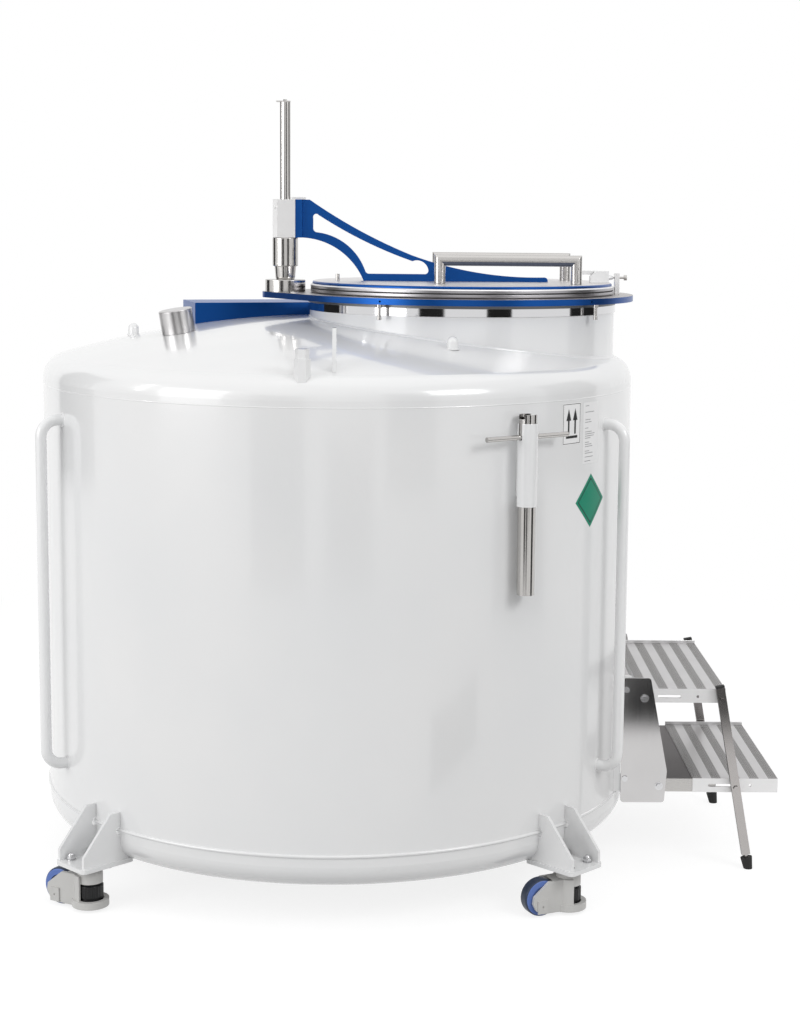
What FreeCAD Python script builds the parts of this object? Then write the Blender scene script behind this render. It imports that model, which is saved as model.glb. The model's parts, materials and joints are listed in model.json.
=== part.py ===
"""Liquid nitrogen storage tank with a lifting lid, levelling casters and a folding double step.

The tank stands on the floor, z = 0, with its axis vertical.  While it is modelled, the tank axis is
the Z axis, +X points to the operator's side, where the steps are, and -Y is the side that shows the
lid arm.  The last step moves every piece so that the origin is the middle of the footprint.
"""
import FreeCAD
import Part
import math
import os

V = FreeCAD.Vector
UP = V(0, 0, 1)

# Outer jacket: a rolled shell between two dished heads
shell_r = 755.0
shell_wall = 4.0
bottom_seam_z = 187.0
top_seam_z = 1218.0
bead_r = 4.0
head_knuckle_r = 56.0
top_skirt = 15.0
top_crown_r = 2640.0
bottom_skirt = 22.0
bottom_crown_r = 5200.0
trim_depth = 20.0
edge_break = 1.5

# Inner vessel, hung from the neck liner
vessel_gap = 83.0
vessel_wall = 3.0
vessel_bottom_z = 250.0
vessel_top_z = 1160.0
vessel_crown_r = 2400.0
vessel_bottom_crown_r = 5000.0

# Neck, off the tank axis towards the operator
neck_edge = 45.5
neck_r = 393.0
neck_wall = 5.0
band_h = 28.0
band_t = 3.5
liner_r = 323.0
liner_wall = 3.0

# Ring plate on the neck, with the ear that carries the post
ring_r = 441.0
ring_z = 1431.0
ring_t = 15.0
ear_r = 59.0
edge_hole_r = 2.6
edge_hole_depth = 14.0
edge_hole_angles = (-118.0, -46.0, 46.0, 118.0)
stud_circle_r = 418.0
stud_angles = (-120.0, -40.0, 40.0, 120.0)
stud_r = 4.5
stud_drop = 38.0
stud_nut_r = 7.0
stud_nut_h = 9.0
stud_tip_swell = 1.0

# Lid post
post_reach = 456.5
post_r = 13.5
post_wall = 3.0
post_top_z = 1927.0
post_base_r = 52.0
post_base_h = 31.0
post_neck_r = 25.5
post_neck_h = 34.0
post_neck_flare = 2.5
post_foot_inset = 2.0
post_foot_rise = 6.0
post_sleeve_r = 33.0
post_sleeve_h = 73.0
post_cap_w = 36.0
post_cap_t = 3.0
post_cap_shift = 4.0
cap_screw_flats = 8.0
cap_screw_h = 4.0

# Lid carriage
slide_clear = 0.3
block_left = 31.0
block_right = 27.0
block_half_w = 29.0
block_h = 97.0
block_chamfer = 12.0
clamp_t = 6.0
clamp_w = 30.0
clamp_in = 10.0
clamp_out = 7.5
block_screw_r = 3.5
block_screw_h = 2.8
block_screw_drop = 20.0
arm_flange_t = 18.0
arm_flange_half_w = 24.0
arm_t = 18.0
arm_top_flat = 18.0
arm_top_bend = (125.0, 66.0)
arm_knee = (282.0, 140.0)
arm_low_bend = (445.0, 182.0)
arm_tip = (625.0, 194.0)
arm_tip_r = 8.0
arm_heel_x = 157.0
arm_under_bend = (98.0, 34.0)
window_x = 27.0
window_low = 24.0
window_high = 47.0
window_corner = (41.0, 39.0)
window_top_bend = (124.0, 87.0)
window_top_end = (283.0, 155.0)
window_tip = (324.0, 176.0)
window_foot = (313.0, 188.0)
window_heel = (172.0, 188.0)
window_heel_end = (161.0, 180.0)
window_under_bend = (117.0, 117.0)
window_under_end = (37.0, 14.0)
window_corner_out = (-3.0, 6.0)
window_end_out = (18.0, -3.5)
window_foot_out = (2.5, -4.0)
window_heel_out = (-1.5, -2.0)
window_low_out = (-2.0, -2.0)
lid_r = 391.0
lid_disc_t = 22.0
lid_plate_r = 386.0
lid_plate_t = 7.0
lid_plate_chamfer = 3.0
lid_groove_h = 3.0
lid_groove_d = 3.0
lid_rim_break = 3.0
lid_pin_r = 5.0
lid_pin_h = 18.0
lid_pin_back = 320.0
lid_pin_side = 40.0
seal_gap = 0.5
plug_top_r = 314.0
plug_bottom_r = 306.0
plug_depth = 150.0
grip_r = 14.0
grip_wall = 2.5
grip_back = 74.5
grip_front = 294.5
grip_y = 170.0
grip_rise = 72.0

# Lid lock: a post on the ring plate, a bolt that slides in it and a bracket with a bush on the lid
lock_post_gap = 4.0
lock_post_t = 12.0
lock_post_w = 24.0
lock_post_h = 54.0
lock_bolt_r = 3.0
lock_bolt_gap = 0.5
lock_bolt_clear = 0.25
lock_bolt_rise = 13.0
lock_bolt_knob_r = 7.0
lock_bolt_tail = 20.0
lock_bolt_knob_l = 8.0
lock_bolt_nose = 3.0
lock_bolt_nose_r = 2.0
bracket_len = 48.0
bracket_w = 30.0
bracket_h = 30.0
bracket_wall = 4.0
bracket_gap = 16.0
bracket_tongue = 26.0
bracket_slope = 14.0
bracket_tongue_h = 10.0
bush_r = 7.0
bush_tip_r = 4.5
bush_inset = 0.3

# Beam that braces the post side of the ring plate
beam_w = 190.0
beam_turn = 16.0
beam_reach = 240.0
beam_end_y = 60.0
beam_top_z = 1412.0
beam_inner_len = 360.0

# Fittings on the top head
port_r = 41.5
port_h = 58.0
port_wall = 3.0
port_edge = 2.0
port_circle_r = 436.0
port_angle = -154.5
cap_stud_circle_r = 533.0
cap_stud_angles = (-58.0, 60.0, 180.0)
cap_stud_r = 13.5
cap_stud_h = 30.0
lug_edge = 99.0
lug_angles = (-89.0, 91.0)
lug_t = 9.0
lug_base = 78.0
lug_top = 30.0
lug_h = 88.0
lug_hole_r = 11.0
lug_hole_rise = 54.6
lug_root = 60.0
relief_edge = 33.0
relief_angle = -94.6
relief_base_flats = 33.0
relief_base_h = 40.0
relief_top_flats = 28.0
relief_top_h = 22.0

# Grab handles on the shell
handle_angles = (-30.0, 30.0, 150.0, 210.0)
handle_r = 13.5
handle_wall = 2.5
handle_standoff = 53.0
handle_bend_r = 40.0
handle_z0 = 300.0
handle_z1 = 1148.0

# Key with a cross bar, kept in a holder on the shell
key_angle = -55.0
key_gap = 10.5
key_r = 20.5
key_wall = 3.0
key_bottom_z = 781.0
key_top_z = 1197.0
key_bar_r = 6.0
key_bar_len = 235.0
key_flat_h = 10.0
holder_wall = 2.5
holder_clear = 0.5
holder_z0 = 986.0
holder_z1 = 1177.0
holder_notch = 38.0
holder_rib_t = 16.0
holder_rib_inset = 20.0

# Caster brackets at the four corners
caster_angles = (-45.0, 45.0, 135.0, 225.0)
caster_reach = 50.0
caster_h = 108.0
plate_t = 10.0
plate_w = 115.0
plate_inset = 39.0
plate_reach = 110.0
plate_corner_r = 12.0
gusset_t = 8.0
gusset_spread = 96.0
gusset_top_z = 235.0
gusset_top_w = 26.0
gusset_toe_h = 28.0
gusset_toe_gap = 6.0
gusset_inset = 10.0
gusset_root_rise = 30.0
mouse_hole_r = 11.0
caster_bolt_pitch = 62.0
caster_bolt_r = 4.0
caster_bolt_clear = 0.3
caster_bolt_flats = 13.0
caster_plate_t = 4.0
caster_plate_w = 86.0
caster_bolt_head_h = 5.0
caster_nut_h = 9.0
caster_nut_dome_r = 6.3

# Levelling caster
caster_turn = (205.5, 150.0, 165.0, 153.0)
wheel_r = 45.0
wheel_w = 32.0
wheel_trail = 78.0
wheel_hub_r = 26.0
wheel_recess = 4.0
wheel_edge = 7.0
wheel_boss = 6.0
wheel_hub_lip = 2.0
wheel_room = 2.5
axle_r = 6.0
axle_clear = 0.3
cheek_gap = 1.5
cheek_t = 8.0
cheek_root = 11.4
cheek_fold = 12.0
cheek_run = ((28.0, 8.0), (30.5, -9.0), (22.0, -26.0), (5.0, -36.0), (-16.0, -36.0))
boss_w = 25.0
boss_h = 33.0
boss_t = 4.0
boss_shift = 6.0
boss_drop = 17.0
boss_hole_r = 2.5
boss_hole_depth = 2.5
barrel_r = 38.0
barrel_wall = 6.0
crown_r = 30.0
crown_h = 20.0
swivel_r = 28.0
swivel_h = 18.0
swivel_gap = 0.5
window_share = 0.15
roof_over = 16.0
foot_ring_r = 44.0
foot_ring_z0 = 8.0
foot_ring_z1 = 25.0
foot_clear = 1.5
foot_wheel_gap = 3.0
foot_pad_z = 10.0
foot_pad_h = 16.0
foot_knob_h = 36.0
foot_waist = 3.0
foot_stem_r = 7.0
foot_stem_clear = 0.3
foot_edge = 3.0
foot_shoulder = 4.0

# Double step, folded up about its side plates
step_half_w = 259.0
tread_deep = 217.0
tread_gap = 15.0
upper_tread_z = 464.0
tread_reach = 87.0
lower_tread_z = 231.0
rail_t = 4.0
rail_h = 36.0
rail_lip = 12.0
rail_lip_t = 2.0
plank_wall = 4.0
plank_skin = 5.0
tread_t = 20.0
groove_w = 2.4
groove_pitch = 4.8
groove_depth = 1.2
groove_count = 5
strip_count = 5
pivot_inset = 12.0
pivot_upper_z = 440.0
pivot_step = 41.0
pivot_lower_z = 212.0
link_len = 194.0
pivot_r = 4.0
pivot_clear = 0.3
pivot_head_r = 7.5
pivot_head_h = 5.0
pivot_nut_flats = 13.0
pivot_washer_r = 10.5
pivot_washer_t = 1.2
screw_head_h = 3.0
pivot_reach = 2.0
side_plate_t = 3.0
side_plate_gap = 2.0
side_plate_back = 56.0
side_plate_z0 = 169.0
side_plate_z1 = 492.0
side_plate_corner = 8.0
side_plate_w = 117.0
side_plate_foot_w = 111.0
side_plate_top_w = 71.0
side_plate_wide_rise = 82.0
screw_inset = 12.0
screw_low_rise = 62.0
screw_high_drop = 30.0
strip_t = 8.0
strip_show = 22.0
strip_z0 = 196.0
strip_z1 = 496.0
strip_slot_h = 60.0
strip_slot_w = 9.0
strip_slot_inset = 24.0
strip_slot_end = 75.0
strip_root = 90.0
arm_bar_h = 34.0
arm_bar_t = 4.0
arm_sheet_t = 3.0
arm_lap = 60.0
leg_w = 22.0
leg_d = 14.0
leg_wall = 1.6
leg_gap = 3.0
leg_over = 32.0
leg_foot_r = 15.0
leg_foot_h = 30.0
leg_stem_r = 5.0
leg_stem_h = 8.0
leg_floor_t = 3.0
leg_stem_root = 2.0
leg_spacer_r = 6.5
leg_nut_flats = 12.0
leg_foot_taper = 5.0
leg_foot_spare = 1.3
leg_cap_t = 5.0
leg_cap_plug = 8.0
rail_slot_len = 59.0
rail_slot_h = 7.0
rail_slot_upper = 75.0
rail_slot_lower = 69.0
rail_slot_drop = 2.0
rail_hole_r = 3.5
rail_hole_inset = 70.0

# Carousel in the inner vessel, turned by hand to bring the racks under the neck
carousel_clear = 29.0
carousel_z = 320.0
carousel_t = 6.0
carousel_fins = 4
carousel_fin_h = 240.0
carousel_fin_t = 4.0
carousel_hub_r = 60.0
carousel_rim_h = 16.0
spindle_r = 30.0
spindle_clear = 0.5
spindle_over = 60.0

# Heights and places worked out from the values above
vessel_r = shell_r - vessel_gap
carousel_r = vessel_r - vessel_wall - carousel_clear
neck_x = shell_r - neck_r - neck_edge
post_x = neck_x - post_reach
grip_x0 = neck_x - grip_back
grip_x1 = neck_x + grip_front
beam_end_x = post_x - beam_reach
lug_circle_r = shell_r - lug_edge
relief_circle_r = shell_r - relief_edge
key_circle_r = shell_r + key_gap + key_r
caster_circle_r = shell_r + caster_reach
plate_inner_r = shell_r - plate_inset
plate_outer_r = shell_r + plate_reach
upper_tread_x = shell_r + tread_gap
pivot_upper_x = upper_tread_x + pivot_inset
side_plate_x0 = pivot_upper_x - side_plate_back
strip_x1 = side_plate_x0 + strip_show
pivot_lower_x = pivot_upper_x + pivot_step
lower_tread_x = pivot_lower_x + tread_reach
ring_top_z = ring_z + ring_t
lid_z = ring_top_z + seal_gap
lid_plate_z = lid_z + lid_disc_t
lid_top_z = lid_plate_z + lid_plate_t
post_sleeve_z = ring_top_z + post_base_h + post_neck_h
block_z = post_sleeve_z + post_sleeve_h + slide_clear
block_x0 = post_x - block_left
block_x1 = post_x + block_right
arm_x0 = block_x1 + arm_flange_t
plate_z = caster_h + plate_t
seam_knuckle_z = bottom_seam_z - bottom_skirt
dome_knuckle_z = top_seam_z + top_skirt
side_plate_y = step_half_w + side_plate_gap
leg_y = side_plate_y + side_plate_t + leg_gap
pivot_leg_x = pivot_upper_x + link_len
pivot_leg_low_x = pivot_lower_x + link_len
leg_run = (pivot_leg_low_x - pivot_leg_x) / (pivot_upper_z - pivot_lower_z)


def polar(radius, degrees, z=0.0):
    """Point at a radius and a compass angle about the tank axis."""
    turn = math.radians(degrees)
    return V(radius * math.cos(turn), radius * math.sin(turn), z)


def turned(shape, degrees, centre=V(0, 0, 0)):
    """Copy of a shape turned about a vertical line."""
    return shape.rotated(centre, UP, degrees)


def fused(first, *others):
    """Pieces that are welded or cast as one."""
    return first.fuse(list(others)).removeSplitter()


def loop(start, steps):
    """Closed face in the XZ plane; a step is a corner (x, z) or an arc ((x, z) middle, (x, z) end)."""
    edges = []
    here = start
    for step in steps + [start]:
        arc = isinstance(step[0], tuple)
        end = step[1] if arc else step
        if arc:
            middle = step[0]
            edge = Part.Arc(V(here[0], 0, here[1]), V(middle[0], 0, middle[1]), V(end[0], 0, end[1]))
            edges.append(edge.toShape())
        elif math.dist(here, end) > 1e-6:
            edges.append(Part.makeLine(V(here[0], 0, here[1]), V(end[0], 0, end[1])))
        here = end
    return Part.Face(Part.Wire(edges))


def top_rim(disc):
    """Upper edge of an upright round disc."""
    rims = [e for e in disc.Edges if e.Closed]
    return max(rims, key=lambda e: e.BoundBox.ZMin)


def edges_along(shape, way):
    """Straight edges of a shape that run along a direction."""
    return [e for e in shape.Edges
            if len(e.Vertexes) == 2 and e.tangentAt(e.FirstParameter).cross(way).Length < 1e-6]


def spun(face):
    """Solid of revolution about the tank axis."""
    return face.revolve(V(0, 0, 0), UP, 360)


def plate_xz(face, y0, y1):
    """Plate cut from a profile in the XZ plane."""
    return face.translated(V(0, y0, 0)).extrude(V(0, y1 - y0, 0))


def box(x0, x1, y0, y1, z0, z1):
    return Part.makeBox(x1 - x0, y1 - y0, z1 - z0, V(x0, y0, z0))


def rod(radius, start, end):
    """Round bar from one point to another."""
    way = end - start
    return Part.makeCylinder(radius, way.Length, start, way)


def hexagon(flats, height, base, along=UP):
    """Hexagonal prism, flats apart."""
    radius = flats / math.sqrt(3.0)
    corners = [V(radius * math.cos(math.radians(60 * k)), radius * math.sin(math.radians(60 * k)), 0)
               for k in range(7)]
    prism = Part.Face(Part.makePolygon(corners)).extrude(V(0, 0, height))
    prism.Placement = FreeCAD.Placement(base, FreeCAD.Rotation(UP, along))
    return prism


def slot_cutter(x_mid, z_mid, length, height, y0, y1):
    """Rounded slot through plates that lie in the XZ plane."""
    half = (length - height) / 2.0
    r = height / 2.0
    face = loop((x_mid - half, z_mid + r),
                [(x_mid + half, z_mid + r),
                 ((x_mid + half + r, z_mid), (x_mid + half, z_mid - r)),
                 (x_mid - half, z_mid - r),
                 ((x_mid - half - r, z_mid), (x_mid - half, z_mid + r))])
    return plate_xz(face, y0, y1)


def dish(radius, knuckle, crown, inset):
    """Height of a dished head, the point where its knuckle meets its crown, and mid points of both."""
    r = knuckle - inset
    big = crown - inset
    centre_gap = math.sqrt((crown - knuckle) ** 2 - (radius - knuckle) ** 2)
    tilt = math.asin((radius - knuckle) / (crown - knuckle))
    height = big - centre_gap
    meet = (big * math.sin(tilt), big * math.cos(tilt) - centre_gap)
    half_knuckle = math.radians(90) - (math.radians(90) - tilt) / 2.0
    knuckle_mid = (radius - knuckle + r * math.sin(half_knuckle), r * math.cos(half_knuckle))
    crown_mid = (big * math.sin(tilt / 2.0), big * math.cos(tilt / 2.0) - centre_gap)
    return height, meet, knuckle_mid, crown_mid


def dish_wall(radius, wall, knuckle, crown, seam_z, knuckle_z, way):
    """Section of a dished head that opens away from `way`, +1 for a top head and -1 for a bottom one."""
    h_out, meet_out, kn_out, cr_out = dish(radius, knuckle, crown, 0.0)
    h_in, meet_in, kn_in, cr_in = dish(radius, knuckle, crown, wall)

    def at(point):
        return (point[0], knuckle_z + way * point[1])

    return loop((radius, seam_z),
                [(radius, knuckle_z), (at(kn_out), at(meet_out)), (at(cr_out), at((0, h_out))),
                 at((0, h_in)), (at(cr_in), at(meet_in)), (at(kn_in), (radius - wall, knuckle_z)),
                 (radius - wall, seam_z)])


def dish_fill(radius, knuckle, crown, seam_z, knuckle_z, way):
    """Section of the same head, filled, for trimming what is welded to its outside."""
    h_out, meet_out, kn_out, cr_out = dish(radius, knuckle, crown, 0.0)

    def at(point):
        return (point[0], knuckle_z + way * point[1])

    return loop((radius, seam_z),
                [(radius, knuckle_z), (at(kn_out), at(meet_out)), (at(cr_out), at((0, h_out))),
                 (0, seam_z)])


def jacket_fill():
    """The whole outside of the jacket as one filled solid, without its weld beads."""
    top = spun(dish_fill(shell_r, head_knuckle_r, top_crown_r, top_seam_z, dome_knuckle_z, 1))
    bottom = spun(dish_fill(shell_r, head_knuckle_r, bottom_crown_r, bottom_seam_z,
                            seam_knuckle_z, -1))
    middle = Part.makeCylinder(shell_r, top_seam_z - bottom_seam_z, V(0, 0, bottom_seam_z))
    return fused(middle, top, bottom)


def dome_z(radius):
    """Height of the top head's outside, at a distance from the tank axis inside its knuckle."""
    height = dish(shell_r, head_knuckle_r, top_crown_r, 0.0)[0]
    return dome_knuckle_z + height - top_crown_r + math.sqrt(top_crown_r ** 2 - radius ** 2)


def make_outer_shell():
    """Rolled shell, with the weld bead at its bottom seam and a finer one at the top."""
    face = loop((shell_r, bottom_seam_z),
                [((shell_r + bead_r, bottom_seam_z + bead_r), (shell_r, bottom_seam_z + 2 * bead_r)),
                 (shell_r, top_seam_z), (shell_r - shell_wall, top_seam_z),
                 (shell_r - shell_wall, bottom_seam_z)])
    return spun(face)


def make_top_head():
    """Dished top head, opened for the neck."""
    head = spun(dish_wall(shell_r, shell_wall, head_knuckle_r, top_crown_r, top_seam_z,
                          dome_knuckle_z, 1))
    neck = Part.makeCylinder(neck_r - neck_wall, ring_z, V(neck_x, 0, 0))
    return head.cut(neck)


def make_bottom_head():
    return spun(dish_wall(shell_r, shell_wall, head_knuckle_r, bottom_crown_r, bottom_seam_z,
                          seam_knuckle_z, -1))


def make_neck_collar(jacket):
    """White tube from the dome to the ring plate."""
    outside = Part.makeCylinder(neck_r, ring_z - top_seam_z, V(neck_x, 0, top_seam_z))
    inside = Part.makeCylinder(neck_r - neck_wall, ring_z, V(neck_x, 0, 0))
    return outside.cut([inside, jacket])


def make_neck_band():
    """Polished band round the top of the neck."""
    outside = Part.makeCylinder(neck_r + band_t, band_h, V(neck_x, 0, ring_z - band_h))
    return outside.cut(Part.makeCylinder(neck_r, ring_z, V(neck_x, 0, 0)))


def make_inner_vessel():
    """Inner vessel with its neck opening and the spindle that carries the carousel."""
    top = spun(dish_wall(vessel_r, vessel_wall, head_knuckle_r, vessel_crown_r, vessel_top_z,
                         vessel_top_z, 1))
    bottom = spun(dish_wall(vessel_r, vessel_wall, head_knuckle_r, vessel_bottom_crown_r,
                            vessel_bottom_z, vessel_bottom_z, -1))
    wall = Part.makeCylinder(vessel_r, vessel_top_z - vessel_bottom_z, V(0, 0, vessel_bottom_z))
    wall = wall.cut(Part.makeCylinder(vessel_r - vessel_wall, vessel_top_z, V(0, 0, 0)))
    top = top.cut(Part.makeCylinder(liner_r, ring_z, V(neck_x, 0, 0)))
    floor_z = vessel_bottom_z - dish(vessel_r, head_knuckle_r, vessel_bottom_crown_r,
                                     vessel_wall)[0]
    spindle = Part.makeCylinder(spindle_r, carousel_z + spindle_over - floor_z, V(0, 0, floor_z))
    collar = Part.makeCylinder(carousel_hub_r, carousel_z - carousel_t - floor_z - slide_clear,
                               V(0, 0, floor_z))
    return fused(wall, top, bottom, spindle, collar)


def make_neck_liner():
    """Thin tube from the ring plate down into the inner vessel."""
    low = vessel_top_z
    tube = Part.makeCylinder(liner_r, ring_top_z - low, V(neck_x, 0, low))
    return tube.cut(Part.makeCylinder(liner_r - liner_wall, ring_top_z, V(neck_x, 0, 0)))


def make_carousel():
    """Turntable with radial dividers, for racks."""
    base_z = carousel_z - carousel_t
    deck = Part.makeCylinder(carousel_r, carousel_t, V(0, 0, base_z))
    rim = Part.makeCylinder(carousel_r, carousel_rim_h, V(0, 0, base_z))
    rim = rim.cut(Part.makeCylinder(carousel_r - carousel_fin_t, carousel_rim_h, V(0, 0, base_z)))
    hub = Part.makeCylinder(carousel_hub_r, carousel_fin_h, V(0, 0, base_z))
    fin = box(0, carousel_r, -carousel_fin_t / 2, carousel_fin_t / 2, base_z,
              base_z + carousel_fin_h)
    fins = [turned(fin, 360.0 * k / carousel_fins) for k in range(carousel_fins)]
    body = fused(deck, rim, hub, *fins)
    bore = Part.makeCylinder(spindle_r + spindle_clear, spindle_over + carousel_t + slide_clear,
                             V(0, 0, base_z))
    return body.cut(bore)


def make_ring_plate():
    """Ring plate with a rounded ear, drawn as the tangent outline of its two circles."""
    gap = neck_x - post_x
    lean = math.acos((ring_r - ear_r) / gap)
    ring_touch = V(neck_x - ring_r * math.cos(lean), ring_r * math.sin(lean), ring_z)
    ear_touch = V(post_x - ear_r * math.cos(lean), ear_r * math.sin(lean), ring_z)
    flip = lambda p: V(p.x, -p.y, p.z)
    ring_arc = Part.Arc(ring_touch, V(neck_x + ring_r, 0, ring_z), flip(ring_touch)).toShape()
    ear_arc = Part.Arc(flip(ear_touch), V(post_x - ear_r, 0, ring_z), ear_touch).toShape()
    sides = [Part.makeLine(flip(ring_touch), flip(ear_touch)), Part.makeLine(ear_touch, ring_touch)]
    outline = Part.Wire([ring_arc, sides[0], ear_arc, sides[1]])
    plate = Part.Face(outline).extrude(V(0, 0, ring_t))
    cuts = [Part.makeCylinder(liner_r, ring_t, V(neck_x, 0, ring_z))]
    for angle in edge_hole_angles:
        out = polar(1.0, angle)
        start = V(neck_x, 0, ring_z + ring_t / 2) + out * (ring_r + edge_hole_r)
        cuts.append(rod(edge_hole_r, start, start - out * (edge_hole_depth + edge_hole_r)))
    return plate.cut(cuts)


def make_ring_studs():
    """Studs with nuts that hang below the rim of the ring plate."""
    studs = []
    for angle in stud_angles:
        top = V(neck_x, 0, ring_z) + polar(stud_circle_r, angle)
        shank = Part.makeCylinder(stud_r, stud_drop, top - V(0, 0, stud_drop))
        nut = Part.makeCylinder(stud_nut_r, stud_nut_h, top - V(0, 0, stud_nut_h))
        tip = Part.makeCylinder(stud_r + stud_tip_swell, stud_nut_h, top - V(0, 0, stud_drop))
        studs.append(fused(shank, nut, tip))
    return Part.makeCompound(studs)


def make_post_base():
    """Round flange that seats the post on the ear."""
    flange = Part.makeCylinder(post_base_r, post_base_h, V(post_x, 0, ring_top_z))
    flange = flange.makeChamfer(edge_break, [top_rim(flange)])
    return flange.cut(Part.makeCylinder(post_r, post_base_h, V(post_x, 0, ring_top_z)))


def make_post_sleeve():
    """Turned stop on which the carriage rests: a waisted foot and a wider sleeve."""
    foot_z = ring_top_z + post_base_h
    top_z = post_sleeve_z + post_sleeve_h
    face = loop((post_r, foot_z),
                [(post_neck_r - post_foot_inset, foot_z), (post_neck_r, foot_z + post_foot_rise),
                 (post_neck_r + post_neck_flare, post_sleeve_z),
                 (post_sleeve_r - edge_break, post_sleeve_z),
                 (post_sleeve_r, post_sleeve_z + edge_break), (post_sleeve_r, top_z - edge_break),
                 (post_sleeve_r - edge_break, top_z), (post_r, top_z)])
    return spun(face).translated(V(post_x, 0, 0))


def make_post_tube():
    """Post from the ear up to its cap."""
    tube = Part.makeCylinder(post_r, post_top_z - ring_top_z, V(post_x, 0, ring_top_z))
    tube = tube.cut(Part.makeCylinder(post_r - post_wall, post_top_z - ring_top_z,
                                      V(post_x, 0, ring_top_z)))
    cap = box(-post_cap_w / 2, post_cap_w / 2, -post_r, post_r, 0, post_cap_t)
    cap.translate(V(post_x - post_cap_shift, 0, post_top_z))
    screw = hexagon(cap_screw_flats, cap_screw_h, V(post_x, 0, post_top_z + post_cap_t))
    return fused(tube, cap, screw)


def make_slider_block():
    """Block that slides on the post, with its clamp plate on top."""
    top_z = block_z + block_h
    half = block_half_w
    cut = block_chamfer
    outline = [V(block_x0 + cut, -half, block_z), V(block_x1, -half, block_z),
               V(block_x1, half, block_z), V(block_x0 + cut, half, block_z),
               V(block_x0, half - cut, block_z), V(block_x0, cut - half, block_z),
               V(block_x0 + cut, -half, block_z)]
    block = Part.Face(Part.makePolygon(outline)).extrude(V(0, 0, block_h))
    clamp = box(block_x1 - clamp_in, arm_x0 + clamp_out, -clamp_w / 2, clamp_w / 2,
                top_z, top_z + clamp_t)
    body = fused(block, clamp)
    bore = Part.makeCylinder(post_r + slide_clear, block_h + clamp_t, V(post_x, 0, block_z))
    screw_foot = V(block_x0 + cut / 2, -half + cut / 2, top_z - block_screw_drop)
    screw = rod(block_screw_r, screw_foot, screw_foot + polar(block_screw_h, -135.0))
    return fused(body.cut(bore), screw)


def from_arm_top(point):
    """Place in the arm's plane, from its distance out and its drop below the block's top."""
    return (arm_x0 + point[0], block_z + block_h - point[1])


def arm_outline():
    """Outline of the arm: a straight back, a long falling top edge and a round underside."""
    top_z = block_z + block_h
    tip_x = arm_x0 + arm_tip[0]
    tip_z = top_z - arm_tip[1]
    bend = arm_tip_r * (1.0 - math.sqrt(0.5))
    under = (arm_x0 + arm_under_bend[0], block_z - arm_under_bend[1])
    return loop((arm_x0, top_z),
                [(arm_x0 + arm_top_flat, top_z),
                 (from_arm_top(arm_top_bend), from_arm_top(arm_knee)),
                 (from_arm_top(arm_low_bend), (tip_x, tip_z)),
                 ((tip_x + arm_tip_r - bend, tip_z - bend), (tip_x + arm_tip_r, tip_z - arm_tip_r)),
                 (tip_x + arm_tip_r, lid_top_z), (arm_x0 + arm_heel_x, lid_top_z),
                 (under, (arm_x0, block_z))])


def arm_window():
    """Window in the arm, between its top edge and its underside, with rounded corners."""
    top_z = block_z + block_h
    left = arm_x0 + window_x
    tip = from_arm_top(window_tip)
    foot = from_arm_top(window_foot)
    heel = from_arm_top(window_heel)
    heel_end = from_arm_top(window_heel_end)
    corner = from_arm_top(window_corner)
    under_end = (arm_x0 + window_under_end[0], block_z + window_under_end[1])

    def round_mid(a, b, away):
        """Middle of a small corner arc, pushed out of the window."""
        return ((a[0] + b[0]) / 2 + away[0], (a[1] + b[1]) / 2 + away[1])

    return loop((left, block_z + window_low),
                [(left, top_z - window_high),
                 (round_mid((left, top_z - window_high), corner, window_corner_out), corner),
                 (from_arm_top(window_top_bend), from_arm_top(window_top_end)),
                 (round_mid(from_arm_top(window_top_end), tip, window_end_out), tip),
                 (round_mid(tip, foot, window_foot_out), foot), heel,
                 (round_mid(heel, heel_end, window_heel_out), heel_end),
                 (from_arm_top(window_under_bend), under_end),
                 (round_mid(under_end, (left, block_z + window_low), window_low_out),
                  (left, block_z + window_low))])


def make_lid_arm():
    """Arm plate with the flange that bolts to the block."""
    web = plate_xz(arm_outline(), -arm_t / 2, arm_t / 2)
    web = web.cut(plate_xz(arm_window(), -arm_t / 2, arm_t / 2))
    flange = box(block_x1, arm_x0, -arm_flange_half_w, arm_flange_half_w, block_z,
                 block_z + block_h)
    return fused(web, flange)


def make_lid_top_plate():
    """Thin plate on the lid, with bevelled edge."""
    plate = Part.makeCylinder(lid_plate_r, lid_plate_t, V(neck_x, 0, lid_plate_z))
    plate = plate.makeChamfer(lid_plate_chamfer, [top_rim(plate)])
    pin = Part.makeCylinder(lid_pin_r, lid_pin_h, V(neck_x - lid_pin_back, -lid_pin_side, lid_top_z))
    return fused(plate, pin)


def make_lid_disc():
    """Lid disc with a rounded rim, grooved half way up."""
    r = lid_r
    inner = lid_r - lid_groove_d
    low = lid_z
    high = lid_plate_z
    groove_low = (low + high - lid_groove_h) / 2
    groove_high = groove_low + lid_groove_h
    face = loop((0, low),
                [(r - lid_rim_break, low), (r, low + lid_rim_break), (r, groove_low),
                 (inner, groove_low), (inner, groove_high), (r, groove_high),
                 (r, high - lid_rim_break), (r - lid_rim_break, high), (0, high)])
    return spun(face).translated(V(neck_x, 0, 0))


def make_lid_plug():
    """Foam plug below the lid."""
    cone = Part.makeCone(plug_bottom_r, plug_top_r, plug_depth)
    cone.translate(V(neck_x, 0, lid_z - plug_depth))
    return cone


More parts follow.
